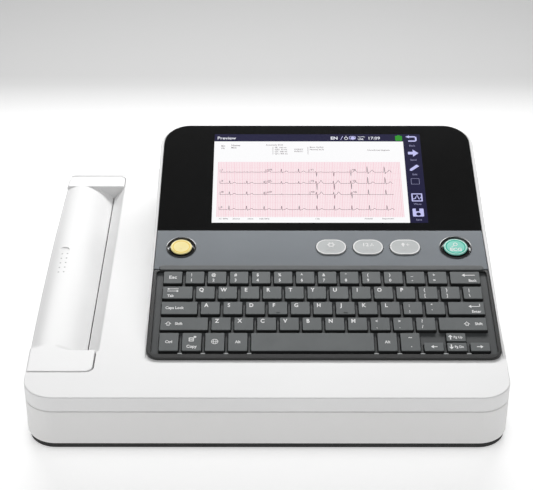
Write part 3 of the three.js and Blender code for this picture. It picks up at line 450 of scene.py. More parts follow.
def bar(points, width, low, high):
    """Band of a constant width along a line of (x, y) points, between two heights."""
    left = []
    right = []
    for i, point in enumerate(points):
        here = Vector(point)
        before = Vector(points[max(i - 1, 0)])
        after = Vector(points[min(i + 1, len(points) - 1)])
        along = (after - before).normalized()
        side = Vector((-along.y, along.x)) * width / 2
        left.append(tuple(here + side))
        right.append(tuple(here - side))
    rings = [[(*a, low), (*b, low), (*b, high), (*a, high)] for a, b in zip(left, right)]
    return loft(rings)


def ring_shape(outline, thickness, low, high):
    """Closed band that follows an outline, thickness wide towards its inside."""
    inner = inset(outline, thickness)
    return loft([lifted(outline, low), lifted(outline, high), lifted(inner, high), lifted(inner, low)], True)


def circle(x, y, radius, sides=32):
    return [(x + radius * math.cos(a), y + radius * math.sin(a)) for a in full_turn(sides)]


def polygon(points, low, high):
    return loft([lifted(points, low), lifted(points, high)])


TEXT_CACHE = {}


def words(text, x, y, size, z, height=0.03, bold=0.02, align="CENTER", wide=1.0):
    """Closed letters lying on z, with their middle, left or right end at x and their baseline at y."""
    key = (text, size, bold, align)
    if key not in TEXT_CACHE:
        curve = bpy.data.curves.new("words", "FONT")
        curve.body = text
        curve.size = size
        curve.align_x = align
        curve.extrude = 0.5
        curve.offset = bold * size
        curve.resolution_u = 3
        holder = bpy.data.objects.new("words", curve)
        bpy.context.scene.collection.objects.link(holder)
        bpy.context.view_layer.update()
        mesh = bpy.data.meshes.new_from_object(holder.evaluated_get(bpy.context.evaluated_depsgraph_get()))
        work = bmesh.new()
        work.from_mesh(mesh)
        bmesh.ops.remove_doubles(work, verts=work.verts, dist=size * 0.0005)
        work.to_mesh(mesh)
        work.free()
        points = [tuple(v.co) for v in mesh.vertices]
        TEXT_CACHE[key] = (points, [tuple(face.vertices) for face in mesh.polygons])
        bpy.data.objects.remove(holder)
        bpy.data.meshes.remove(mesh)
        bpy.data.curves.remove(curve)
    points, faces = TEXT_CACHE[key]
    return [(px * wide + x, py + y, z + (pz + 0.5) * height) for px, py, pz in points], faces


# ---------------------------------------------------------------- frames of the console
def press_axis():
    return next(Vector(joint["axis"]) for joint in frame["joints"] if joint["name"] == "key_escape_press")


def node_points(node):
    return [v.co / MM for v in frame["nodes"][node].data.vertices]


def tilted_frames():
    """Frames of the lower and the upper console plane, from the press direction and the panels' own faces."""
    axis = press_axis()
    lower_tilt = math.atan2(axis.y, -axis.z)
    turn = Matrix.Rotation(lower_tilt, 4, "X")
    panel = [turn.inverted() @ point for point in node_points("button_panel")]
    centre = (min(p.x for p in panel) + max(p.x for p in panel)) / 2
    origin = turn @ Vector((centre, max(p.y for p in panel) + GAP, max(p.z for p in panel)))
    top = max(node_points("display_window"), key=lambda point: point.z)
    upper_tilt = math.atan2(top.z - origin.z, top.y - origin.y)
    shift = Matrix.Translation(origin)
    return shift @ turn, shift @ Matrix.Rotation(upper_tilt, 4, "X"), origin, lower_tilt, upper_tilt


LOWER, UPPER, JUNCTION, LOWER_TILT, UPPER_TILT = tilted_frames()


def local_box(node, place):
    """Lowest and highest corner of a CAD node in a console frame, in millimetres."""
    back = place.inverted()
    points = [back @ point for point in node_points(node)]
    low = Vector([min(p[i] for p in points) for i in range(3)])
    high = Vector([max(p[i] for p in points) for i in range(3)])
    return low, high


def plane_height(y):
    """Height of the console's face above the floor at a place along the body."""
    tilt = LOWER_TILT if y < JUNCTION.y else UPPER_TILT
    return JUNCTION.z + (y - JUNCTION.y) * math.tan(tilt)


FRONT_Y = JUNCTION.y - LOWER_LENGTH * math.cos(LOWER_TILT)
BACK_Y = JUNCTION.y + UPPER_LENGTH * math.cos(UPPER_TILT)


def panel_half(y):
    share = (y - FRONT_Y) / (BACK_Y - FRONT_Y)
    return HALF_FRONT + (HALF_BACK - HALF_FRONT) * share


def lower_half(along):
    return panel_half(JUNCTION.y + along * math.cos(LOWER_TILT))


def upper_half(along):
    return panel_half(JUNCTION.y + along * math.cos(UPPER_TILT))


def panel_outline(half, y0, y1, grow, front_radius, back_radius):
    near = half(y0) + grow
    far = half(y1) + grow
    return round_corners([
        (-near, y0 - grow, front_radius),
        (near, y0 - grow, front_radius),
        (far, y1 + grow, back_radius),
        (-far, y1 + grow, back_radius),
    ], 12)


# ---------------------------------------------------------------- body outline
def side_x(y):
    """Half width of the body at a place along it."""
    straight = HALF_DEPTH - CORNER_RADIUS
    if abs(y) <= straight:
        return HALF_WIDTH + SIDE_BOW * (1 - (y / straight) ** 2)
    return HALF_WIDTH - CORNER_RADIUS + math.sqrt(max(CORNER_RADIUS**2 - (abs(y) - straight) ** 2, 0))


def body_outline(corner_steps=14, side_steps=24):
    straight = HALF_DEPTH - CORNER_RADIUS
    quarter_turn = []
    for k in range(corner_steps + 1):
        angle = -math.pi / 2 * (1 - k / corner_steps)
        x = HALF_WIDTH - CORNER_RADIUS + CORNER_RADIUS * math.cos(angle)
        quarter_turn.append((x, -straight + CORNER_RADIUS * math.sin(angle)))
    side = [-straight + 2 * straight * k / side_steps for k in range(1, side_steps)]
    right = quarter_turn + [(side_x(y), y) for y in side] + [(x, -y) for x, y in reversed(quarter_turn)]
    return right + [(-x, y) for x, y in reversed(right)]


# ---------------------------------------------------------------- deck of the upper case
DECK_EDGE = 0.9
BAY_EDGE = 0.5
LIP_X = SLOT_X + SLOT_WIDTH
LIP_FRONT = BAR_REAR + GAP
LIP_BACK = BLOCK_FRONT - GAP
EDGE_STEPS = 4


def edge_profile(radius):
    """Side of the deck from below: (move inwards, height) pairs that end on the deck."""
    made = [(0.5, SEAM_Z + GAP / 2), (0, SEAM_Z + GAP / 2 + 0.5)]
    for a in quarter(EDGE_STEPS):
        made.append((radius * (1 - math.cos(a)), DECK_Z - radius * (1 - math.sin(a))))
    return made


def lip_profile():
    """Sloping lip that guides the paper: it stands out over the slot and rises to the deck."""
    reach = DOOR_RIGHT + GAP - LIP_X
    made = [(-reach + 1, SEAM_Z + GAP / 2), (-reach, SEAM_Z + GAP / 2 + 0.5)]
    rise = [(-reach + 0.3, VALLEY_Z + 0.5), (-1.6, DECK_Z - 2.6), (-0.6, DECK_Z - 1.1), (0.3, DECK_Z - 0.3)]
    return made + rise + [(1.2, DECK_Z)]


def deck_points():
    """The deck's outline anticlockwise, each point with its kind of edge: outer, bay or paper lip."""
    arc_steps = 10
    lip_steps = 20
    x = DOOR_RIGHT + GAP
    corner = DOOR_RADIUS + GAP
    step_y = LIP_FRONT - 1
    front = round_corners([
        (-side_x(DOOR_FRONT), DOOR_FRONT - GAP, 0),
        (BAR_RIGHT + GAP, DOOR_FRONT - GAP, corner),
        (BAR_RIGHT + GAP, step_y, 0),
        (x, step_y, 0),
        (x, LIP_FRONT - 0.02, 0),
    ], arc_steps)
    back = round_corners([
        (x, LIP_BACK + 0.02, 0),
        (x, DOOR_BACK + GAP, corner),
        (-side_x(DOOR_BACK + GAP), DOOR_BACK + GAP, 0),
    ], arc_steps)
    lip = [(x, LIP_FRONT + (LIP_BACK - LIP_FRONT) * k / lip_steps) for k in range(lip_steps + 1)]
    edge = [(point, "bay") for point in front] + [(point, "lip") for point in lip]
    edge += [(point, "bay") for point in back]
    outline = body_outline()
    in_bay = [x < 0 and DOOR_FRONT - GAP - 0.5 < y < DOOR_BACK + GAP + 0.5 for x, y in outline]
    first = next(i for i in range(len(outline)) if in_bay[i - 1] and not in_bay[i])
    turned = outline[first:] + outline[:first]
    kept = [point for point in turned if not (point[0] < 0 and DOOR_FRONT - 0.8 < point[1] < DOOR_BACK + 0.8)]
    return [(point, "outer") for point in kept] + edge[::-1]


def deck_radius(point):
    """Rounding of the deck's outer edge: none where the console's side wall stands on it."""
    x, y = point
    if x < 0:
        return DECK_EDGE
    ends = min(y - CONSOLE_FRONT + 2, CONSOLE_BACK - 6 - y)
    return DECK_EDGE * max(0.02, min(1, -ends / 6 + 0.5))


def make_deck():
    marked = deck_points()
    outline = [point for point, style in marked]
    styles = [style for point, style in marked]
    profiles = []
    for point, style in zip(outline, styles):
        if style == "lip":
            profiles.append(lip_profile())
        elif style == "bay":
            profiles.append(edge_profile(BAY_EDGE))
        else:
            profiles.append(edge_profile(deck_radius(point)))
    rings = []
    for k in range(len(profiles[0])):
        moved = inset(outline, [profile[k][0] for profile in profiles])
        rings.append([(x, y, profile[k][1]) for (x, y), profile in zip(moved, profiles)])
    deck = Shape().add(loft(rings)).make("deck_shell", [WHITE])
    opening = rectangle(CONSOLE_LEFT + 5, HALF_WIDTH - 8, CONSOLE_FRONT + 4, CONSOLE_BACK - 8, 18, 10)
    carve(deck, Shape().add(slab(opening, SEAM_Z - 5, DECK_Z + 3)))
    return present(deck, "case", ["top_case"])


# ---------------------------------------------------------------- console wall
RIM_TOP = 0.2
RIM_ROUND = 0.8
BACK_DROP = 1.6  # the rim is this much lower behind the display
COVE = 2.2
TOP_RADIUS = 26
WALL_LEAN = 2.2  # the right wall leans in by this much at the top
FRONT_SINK = 3.0
SINK_LENGTH = 60
VENTS = {"count": 9, "pitch": 12, "half": 1.4, "bottom": 60, "top": 84}  # slots in the rear wall


def smooth_step(value):
    value = max(0.0, min(1.0, value))
    return value * value * (3 - 2 * value)


CONSOLE_REAR = BACK_Y + 1.5
CORNER_Y = CONSOLE_REAR - TOP_RADIUS  # where the wall's rear corners begin
SIDE_STEPS = 30
CORNER_STEPS = 14
REAR_STEPS = 14
FRONT_STEPS = 12


def panel_edge(y):
    return panel_half(y) + GAP


def side_rows():
    start = CONSOLE_FRONT + 1.5
    return [start + (CORNER_Y - start) * k / SIDE_STEPS for k in range(SIDE_STEPS + 1)]


def corner_station(k, side):
    """Station on a rear corner: k counts from the side wall to the rear wall, side is -1 left and 1 right."""
    angle = math.pi / 2 * k / CORNER_STEPS
    c, s = math.cos(angle), math.sin(angle)
    foot_radius = TOP_RADIUS + 1
    y = CONSOLE_BACK - foot_radius + foot_radius * s
    y -= (CONSOLE_BACK - foot_radius - CORNER_Y) * (1 - k / CORNER_STEPS) ** 2
    if side < 0:
        foot_x = CONSOLE_LEFT + foot_radius * (1 - c)
        top_x = CONSOLE_LEFT + TOP_RADIUS * (1 - c)
    else:
        foot_x = min(HALF_WIDTH + SIDE_BOW - foot_radius * (1 - c), side_x(y) - 0.05)
        top_x = side_x(CORNER_Y) - WALL_LEAN - TOP_RADIUS * (1 - c)
    panel_x = JUNCTION.x + side * (panel_edge(BACK_Y) - PANEL_TOP_RADIUS * (1 - c))
    depth = PANEL_TOP_RADIUS * math.cos(UPPER_TILT)
    top_y = CORNER_Y + TOP_RADIUS * s
    return (foot_x, y), (top_x, top_y), (panel_x, BACK_Y + GAP - depth + depth * s), k / CORNER_STEPS


def rear_stations(left_end, right_end):
    stations = []
    for k in range(1, REAR_STEPS):
        share = k / REAR_STEPS
        spots = []
        for a, b in zip(left_end[:3], right_end[:3]):
            spots.append((a[0] + (b[0] - a[0]) * share, a[1] + (b[1] - a[1]) * share))
        stations.append((*spots, 1.0))
    return stations


def right_station(y):
    lean = WALL_LEAN * smooth_step((plane_height(y) - DECK_Z) / 12)
    edge = JUNCTION.x + panel_edge(y)
    top_x = max(side_x(y) - 0.1 - lean, edge + 0.5)
    return (side_x(y) - 0.05, y), (top_x, y), (edge, y), 0.0


def front_station(k):
    y = FRONT_Y - GAP
    share = k / FRONT_STEPS
    right = side_x(y) - 0.05
    x = right + (CONSOLE_LEFT - right) * share
    return (x, CONSOLE_FRONT), (x, CONSOLE_FRONT), (JUNCTION.x + panel_edge(y) * (1 - 2 * share), y), 0.0


def console_stations():
    """Places round the console wall, clockwise from front left: foot, top, panel edge and share behind."""
    left = [((CONSOLE_LEFT, y), (CONSOLE_LEFT, y), (JUNCTION.x - panel_edge(y), y), 0.0) for y in side_rows()]
    left_corner = [corner_station(k, -1) for k in range(1, CORNER_STEPS + 1)]
    right_corner = [corner_station(k, 1) for k in range(CORNER_STEPS, -1, -1)]
    rear = rear_stations(left_corner[-1], right_corner[0])
    right = [right_station(y) for y in side_rows()[-2::-1]]
    front = [front_station(k) for k in range(1, FRONT_STEPS)]
    return left + left_corner + rear + right_corner + right + front


def rim_sink(y):
    """The rim dives under the deck in front of the keyboard and comes up beside it."""
    return FRONT_SINK * (1 - smooth_step((y - CONSOLE_FRONT) / SINK_LENGTH))


def make_console_wall():
    rings = []
    for foot, top, panel, behind in console_stations():
        drop = BACK_DROP * smooth_step(behind) + rim_sink(top[1]) - RIM_TOP
        height = plane_height(top[1]) - drop
        rise = max(0.05, height - DECK_Z)
        foot_point = Vector(foot)
        top_point = Vector(top)
        panel_point = Vector(panel)
        outward = top_point - panel_point
        outward = outward.normalized() if outward.length > 1e-6 else Vector((0, -1))
        on_right = foot_point.x > 170 and foot_point.y < 135
        cove = 0 if on_right else min(COVE, rise * 0.4)
        rim = min(RIM_ROUND, rise * 0.4, (top_point - panel_point).length * 0.45)
        ring = []
        base = min(DECK_Z - 0.15, height - 0.05)
        for a in quarter(3):
            spot = foot_point + outward * cove * (1 - math.sin(a))
            ring.append((spot.x, spot.y, base + cove * (1 - math.cos(a))))
        for a in quarter(4):
            spot = top_point - outward * rim * (1 - math.cos(a))
            ring.append((spot.x, spot.y, height - rim * (1 - math.sin(a))))
        panel_height = plane_height(panel_point.y) - drop
        ring.append((panel_point.x + outward.x * 0.2, panel_point.y + outward.y * 0.2, panel_height))
        ring.append((panel_point.x, panel_point.y, panel_height - 0.2))
        ring.append((panel_point.x, panel_point.y, min(panel_height - 4, DECK_Z - 0.5)))
        ring.append((foot_point.x - outward.x * 0.5, foot_point.y - outward.y * 0.5, DECK_Z - 1.2))
        rings.append(ring)
    wall = Shape().add(loft(rings, True)).make("console_wall", [WHITE])
    slots = Shape()
    for k in range(VENTS["count"]):
        x = VENTS["pitch"] * k
        outline = rectangle(x - VENTS["half"], x + VENTS["half"], 140, 175, 0)
        slots.add(slab(outline, VENTS["bottom"], VENTS["top"]))
    carve(wall, slots)
    return present(wall, "case", ["top_case"])


# ---------------------------------------------------------------- lower case
RECESS = {"left": -40, "right": 168, "bottom": 9, "top": 32, "depth": 10}
RECESS_WALL = HALF_DEPTH - RECESS["depth"]
SPEAKER = (-62, -140, 14)
BOTTOM_ROUND = 1.2
# dark ring in the gap under the case: painted shade
SHADOW_PLINTH = {"outer": 1.4, "width": 3.6, "bottom": 0.8}
CORNERS = ("front_left", "front_right", "rear_right", "rear_left")
TO_BACK = Matrix.Rotation(-math.pi / 2, 4, "X")  # a shape along z turned to point to the back


def mid(node):
    low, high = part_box(node)
    return (low + high) / 2 / MM


def node_span(node):
    low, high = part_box(node)
    return low / MM, high / MM


def lower_shell():
    """Tray of the case: up from its rounded bottom edge to the seam and down inside to the floor."""
    outline = body_outline()
    rings = []
    for a in quarter(4):
        height = CASE_BOTTOM + BOTTOM_ROUND * (1 - math.cos(a))
        rings.append(lifted(inset(outline, BOTTOM_ROUND * (1 - math.sin(a))), height))
    top = SEAM_Z - GAP / 2
    rings.append(lifted(outline, top - 0.6))
    rings.append(lifted(inset(outline, 0.6), top))
    rings.append(lifted(inset(outline, WALL), top))
    rings.append(lifted(inset(outline, WALL), FLOOR_TOP))
    return Shape().add(loft(rings)).make("lower_shell", [WARM_WHITE])


def grown(low, high, grow):
    """Sides of a box in plan, moved outwards."""
    return low.x - grow, high.x + grow, low.y - grow, high.y + grow


def large_openings(door):
    """Connector recess at the back, recorder bay and the battery door's seat."""
    holes = Shape()
    recess = rectangle(RECESS["left"], RECESS["right"], RECESS_WALL, HALF_DEPTH + 5, 0)
    holes.add(slab(recess, RECESS["bottom"], RECESS["top"]))
    holes.add(block(-190, -170, DOOR_FRONT - GAP, DOOR_BACK + GAP, DOOR_BOTTOM - GAP, 40))
    return holes.add(slab(rectangle(*grown(*door, GAP), 4), 0, 6.9))


def port_openings(door):
    """Openings for the connectors, the ground stud and the battery."""
    ports = Shape()
    for node in ("ac_inlet", "network_port", "usb_port"):
        low, high = node_span(node)
        if node == "ac_inlet":
            low.x, high.x = mid(node).x - 15, mid(node).x + 15
            low.z, high.z = mid(node).z - 10, mid(node).z + 10
        near, far = RECESS_WALL - 8, RECESS_WALL + 1
        ports.add(block(low.x - GAP, high.x + GAP, near, far, low.z - GAP, high.z + GAP))
    stud = mid("ground_stud")
    stud_place = Matrix.Translation((stud.x, RECESS_WALL, stud.z)) @ TO_BACK
    ports.add(lathe([(3.3, -8), (3.3, 1)], 32), 0, stud_place)
    low, high = node_span("patient_connector")
    ports.add(block(170, 190, low.y - GAP, high.y + GAP, low.z - GAP, high.z + GAP))
    return ports.add(block(*grown(*door, -4), 4, FLOOR_TOP + 1))


def floor_openings():
    """Speaker slots and countersunk screw holes."""
    holes = Shape()
    x, y, radius = SPEAKER
    for k in range(-2, 3):
        reach = math.sqrt(radius**2 - (k * 5) ** 2) - 1
        holes.add(slab(rectangle(x - reach, x + reach, y + k * 5 - 1, y + k * 5 + 1, 0.98), 0, 12))
    for corner in CORNERS:
        centre = mid("screw_" + corner)
        place = Matrix.Translation((centre.x, centre.y, 0))
        holes.add(lathe([(3.6, 0), (3.6, 7.2), (1.8, 7.2), (1.8, 12)], 32), 0, place)
    return holes


def make_lower_case():
    case = lower_shell()
    recess_box = block(RECESS["left"] - WALL, RECESS["right"] + WALL, RECESS_WALL - WALL, HALF_DEPTH - 1.5,
                       FLOOR_TOP - 1, RECESS["top"] + 2)
    carve(case, Shape().add(recess_box), "UNION")
    door = node_span("battery_door")
    for openings in (large_openings(door), port_openings(door), floor_openings()):
        carve(case, openings)
    return present(case, "case", ["bottom_case"])


def make_shadow_plinth():
    """Dark ring that closes the gap under the case, painted shade standing in for the shadow there; it is
    open round the screw close to the right side.
    """
    outline = inset(body_outline(), SHADOW_PLINTH["outer"])
    ring = Shape().add(ring_shape(outline, SHADOW_PLINTH["width"], SHADOW_PLINTH["bottom"], CASE_BOTTOM))
    plinth = ring.make("shadow_plinth", [RUBBER])
    screw = mid("screw_rear_right")
    opening = block(screw.x - 6, screw.x + 20, screw.y - 6, screw.y + 6, -1, CASE_BOTTOM + 1)
    carve(plinth, Shape().add(opening))
    return present(plinth, "case", ["bottom_case"])


# ---------------------------------------------------------------- recorder door
BAR_EDGE = 1.6
BAR_SEAM = 0.7  # extra play drawn round the front bar
BAR_FRONT = DOOR_FRONT + BAR_SEAM
FRONT_FILLET = 9
REAR_FILLET = 1.0
DOOR_WALL = 2.2
SKIRT_DROP = 9
TOP_EDGE = 0.5
CHEEK = {"thickness": 3, "before": 8, "after": 5, "bottom": 14}
ROLLER = Vector((-145.9, 0, 24))
SHAFT_HOLE = 2.8  # radius of the hole round the platen's shaft
THUMB = {"x": -170.9, "y": 31.0, "radius": 4.8, "tilt": math.radians(11)}
DOTS = {"columns": (-171.4, -167.1), "rear": 25.4, "front": -2.4, "count": 5, "radius": 0.75, "height": 0.25}


def crown_height(x):
    """Top of the recorder's crown; on the right it falls in one sweep to the paper slot."""
    if x > CROWN_X:
        return DECK_Z - (DECK_Z - VALLEY_Z) * ((x - CROWN_X) / (SLOT_X - CROWN_X)) ** 2
    return DECK_Z - CROWN_RADIUS + math.sqrt(CROWN_RADIUS**2 - (x - CROWN_X) ** 2)


def fillet_climb(near, radius):
    """Rise of a concave corner at a distance from the wall that it climbs."""
    if near >= radius:
        return 0.0
    return radius - math.sqrt(radius**2 - (radius - near) ** 2)


def door_height(x, y):
    """Top surface of the recorder door: a crown between two flat ends."""
    if y <= BAR_REAR or y >= BLOCK_FRONT:
        edge = min(y - BAR_FRONT, DOOR_BACK - y, TOP_EDGE)
        return DECK_Z - (TOP_EDGE - edge) ** 2 / TOP_EDGE
    climb = fillet_climb(y - BAR_REAR, FRONT_FILLET) + fillet_climb(BLOCK_FRONT - y, REAR_FILLET)
    return min(DECK_Z, crown_height(x) + climb)


def door_right(y):
    """Right edge of the door's flat ends at a place along it."""
    edge = BAR_RIGHT - BAR_SEAM if y < 0 else DOOR_RIGHT
    near = min(y - BAR_FRONT, DOOR_BACK - y)
    if near >= DOOR_RADIUS:
        return edge
    return edge - DOOR_RADIUS + math.sqrt(max(DOOR_RADIUS**2 - (DOOR_RADIUS - near) ** 2, 0))


def door_rows():
    """Places along the door for its sections: close together where it turns."""
    turn = [DOOR_RADIUS * (1 - math.cos(a)) for a in quarter(8)]
    edge = [TOP_EDGE * share for share in (0.3, 0.6, 1)]
    front = sorted([BAR_FRONT + reach for reach in turn + edge])
    bar_rows = [front[-1] + (BAR_REAR - 1 - front[-1]) * k / 3 for k in (1, 2, 3)]
    step = [BAR_REAR - 0.3, BAR_REAR, BAR_REAR + 0.001]
    near = [BAR_REAR + FRONT_FILLET * (1 - math.cos(a)) for a in quarter(8)[1:]]
    far = [BLOCK_FRONT - REAR_FILLET * (1 - math.cos(a)) for a in reversed(quarter(4)[1:])]
    far.append(BLOCK_FRONT - 0.001)
    middle = [near[-1] + (far[0] - near[-1]) * k / 40 for k in range(1, 40)]
    back_rows = [BLOCK_FRONT, BLOCK_FRONT + 0.3, BLOCK_FRONT + 4]
    back = sorted([DOOR_BACK - reach for reach in turn + edge])
    return front + bar_rows + step + near + middle + far + back_rows + back


def door_section(y):
    """Line across the door: up the left wall, over the top and a little way down on the right."""
    flat = y <= BAR_REAR or y >= BLOCK_FRONT
    left = -side_x(y)
    edge_height = door_height(left + 0.5, y)
    line = [(left, DOOR_BOTTOM + 0.4)]
    line += [(left, DOOR_BOTTOM + (edge_height - 4 - DOOR_BOTTOM) * k / 4) for k in (1, 2, 3, 4)]
    for a in quarter(4):
        x = left + BAR_EDGE * (1 - math.cos(a))
        line.append((x, door_height(left + BAR_EDGE, y) - BAR_EDGE * (1 - math.sin(a))))
    right = door_right(y) if flat else SLOT_X
    start = left + BAR_EDGE
    end = min(SLOT_X, right - 4) if flat else SLOT_X
    steps = 26
    for k in range(1, steps + 1):
        x = start + (end - start) * k / steps
        line.append((x, door_height(x, y)))
    height = door_height(end, y)
    if flat:
        line += [(end + (right - 0.8 - end) * k / 3, height) for k in (1, 2, 3)]
        line += [(right - 0.25, height - 0.25), (right, height - 0.9), (right, height - SKIRT_DROP)]
    else:
        line += [(SLOT_X + 0.1, height), (SLOT_X + 0.2, height - 0.05), (SLOT_X + 0.35, height - 0.2)]
        line += [(SLOT_X + 0.4, height - 0.5), (SLOT_X + 0.4, height - 1), (SLOT_X + 0.4, height - 2.4)]
    return line


def door_sheet():
    """Outer surface of the door as rows of equal sections."""
    lines = [[(x, y, z) for x, z in door_section(y)] for y in door_rows()]
    width = len(lines[0])
    points = [point for line in lines for point in line]
    faces = []
    for r in range(len(lines) - 1):
        for c in range(width - 1):
            a = r * width + c
            faces.append((a, a + 1, a + width + 1, a + width))
    return points, faces


def end_skirt(y_edge, inward, right):
    """Line of the wall under the front or rear edge of the door."""
    half = DOOR_WALL / 2
    y = y_edge + inward * half
    line = [(-side_x(y) + 1.0, y)]
    for a in quarter(6):
        x = right - DOOR_RADIUS + (DOOR_RADIUS - half) * math.sin(a)
        line.append((x, y_edge + inward * (DOOR_RADIUS - (DOOR_RADIUS - half) * math.cos(a))))
    return line


def cheek_outline():
    right = ROLLER.x + CHEEK["after"]
    top = VALLEY_Z - 1.2
    return [(ROLLER.x - CHEEK["before"], CHEEK["bottom"]), (right, CHEEK["bottom"]), (right, top),
            (-160, top), (-178.6, top), (-178.6, 30)]


def add_cheek(door_parts, y0, y1):
    """End plate that holds the platen's shaft."""
    outline = cheek_outline()
    door_parts.add(loft([[(x, y0, z) for x, z in outline], [(x, y1, z) for x, z in outline]]), 0)


def make_recorder_door():
    door = Shape().add(door_sheet()).make("recorder_cover", [DOOR_WHITE, GRIP])
    wall = door.modifiers.new("wall", "SOLIDIFY")
    wall.thickness = DOOR_WALL * MM
    wall.offset = -1
    wall.use_even_offset = False
    settle(door)
    scoop_door(door)
    parts = Shape()
    low, high = DECK_Z - SKIRT_DROP, DECK_Z - 0.8
    parts.add(bar(end_skirt(BAR_FRONT, 1, BAR_RIGHT - BAR_SEAM), DOOR_WALL, low, high), 0)
    parts.add(bar(end_skirt(DOOR_BACK, -1, DOOR_RIGHT), DOOR_WALL, low, high), 0)
    add_cheek(parts, BAR_REAR + 0.3, BAR_REAR + CHEEK["thickness"])
    add_cheek(parts, BLOCK_FRONT - CHEEK["thickness"], BLOCK_FRONT - 0.3)
    plates = parts.make("plates", [DOOR_WHITE, GRIP])
    shaft = Shape()
    turn = Matrix.Translation((ROLLER.x, 0, ROLLER.z)) @ TO_BACK
    shaft.add(lathe([(SHAFT_HOLE, DOOR_FRONT), (SHAFT_HOLE, DOOR_BACK)], 32), 0, turn)
    carve(plates, shaft)
    join(door, plates)
    join(door, grip_dots().make("dots", [DOOR_WHITE, GRIP]))
    return present(door, "recorder_drawer", ["recorder_door"])


def scoop_door(door):
    """Shallow thumb scoop: the rear half of a tilted disc cut into the crown."""
    place = Matrix.Translation((THUMB["x"], THUMB["y"], crown_height(THUMB["x"])))
    tilt = Matrix.Rotation(-THUMB["tilt"], 4, "X")
    disc = lathe([(THUMB["radius"], 0), (THUMB["radius"] + 0.5, 5)], 48)
    carve(door, Shape().add(disc, 0, place @ tilt))


def grip_dots():
    dots = Shape()
    step = (DOTS["rear"] - DOTS["front"]) / (DOTS["count"] - 1)
    for x in DOTS["columns"]:
        for k in range(DOTS["count"]):
            y = DOTS["front"] + k * step
            radius, height = DOTS["radius"], DOTS["height"]
            dome = [(radius, -0.3), (radius, 0.02), (radius * 0.8, height * 0.7), (radius * 0.3, height)]
            dots.add(lathe(dome, 20), 1, Matrix.Translation((x, y, crown_height(x))))
    return dots


# ---------------------------------------------------------------- display window and picture
def make_display_window():
    outline = panel_outline(upper_half, GAP, UPPER_LENGTH, 0, 0.6, PANEL_TOP_RADIUS)
    window = Shape().add(slab(outline, -2.2, 0, 0.45, 0.0, 3), 0, UPPER).make("display_glass", [GLASS])
    return present(window, "case", ["display_window"])


SCREEN_LEFT = -89.0
SCREEN_RIGHT = 90.0
PAGE_RIGHT = 75.0
SCREEN_BOTTOM = 8.4
PAGE_TOP = 106.4
SCREEN_TOP = 115.6
CHART = (-85.0, 70.8, 14.8, 80.4)  # left, right, bottom, top
GRID_STEP = 1.4
BEAT_START = -75.0
BEAT_STEP = 14.65
BEATS = 10
TRACE_START = -83.0
TRACE_END = 63.3
COLUMNS = (-44.2, -7.3, 28.2)  # where the next three leads begin
# each lead as its height up, depth down and the wave that follows, by row and column
LEADS = [
    (68.0, [("I", 0.8, 0.3, 0.4), ("aVR", 5.0, 0.8, 1.6), ("V1", 1.0, 5.6, 0.4), ("V4", 7.4, 2.2, 2.8)]),
    (54.4, [("II", 3.8, 0.6, 1.4), ("aVL", 3.0, 0.6, 1.4), ("V2", 3.4, 8.4, 3.6), ("V5", 8.0, 1.0, 2.0)]),
    (41.1, [("III", 4.2, 0.8, 1.4), ("aVF", 1.2, 0.3, 0.3), ("V3", 3.6, 5.4, 3.2), ("V6", 6.2, 0.6, 0.4)]),
    (23.3, [("II", 5.4, 0.8, 1.5)] * 4),
]
LAYER = 0.02


def heartbeat(x, up, down, wave):
    """Height of one beat at a distance after its start, in millimetres of chart."""
    height = 0.35 * math.exp(-((x + 2.4) / 0.6) ** 2)
    height += up * max(0.0, 1 - abs(x) / 0.45)
    height -= down * max(0.0, 1 - abs(x - 0.7) / 0.4)
    return height + wave * math.exp(-((x - 4.2) / 1.15) ** 2)


def trace_points(row):
    base, leads = LEADS[row]
    points = []
    steps = 700
    for k in range(steps + 1):
        x = TRACE_START + (TRACE_END - TRACE_START) * k / steps
        lead = leads[sum(x >= edge for edge in COLUMNS)]
        beat = round((x - BEAT_START) / BEAT_STEP)
        beat = max(0, min(BEATS - 1, beat))
        nearest = min(range(max(beat - 1, 0), min(beat + 2, BEATS)),
                      key=lambda b: abs(x - BEAT_START - b * BEAT_STEP - 2))
        points.append((x, base + heartbeat(x - BEAT_START - nearest * BEAT_STEP, *lead[1:])))
    return points


def thinned(points, tolerance=0.02):
    """Line without the points that lie straight between their neighbours."""
    kept = [points[0]]
    for i in range(1, len(points) - 1):
        (x0, y0), (x1, y1), (x2, y2) = kept[-1], points[i], points[i + 1]
        straight = y0 + (y2 - y0) * (x1 - x0) / (x2 - x0)
        if abs(straight - y1) > tolerance or x1 - x0 > 6:
            kept.append(points[i])
    return kept + [points[-1]]


def sheet_of(x0, x1, y0, y1, level):
    return block(x0, x1, y0, y1, LAYER * level, LAYER * (level + 1))


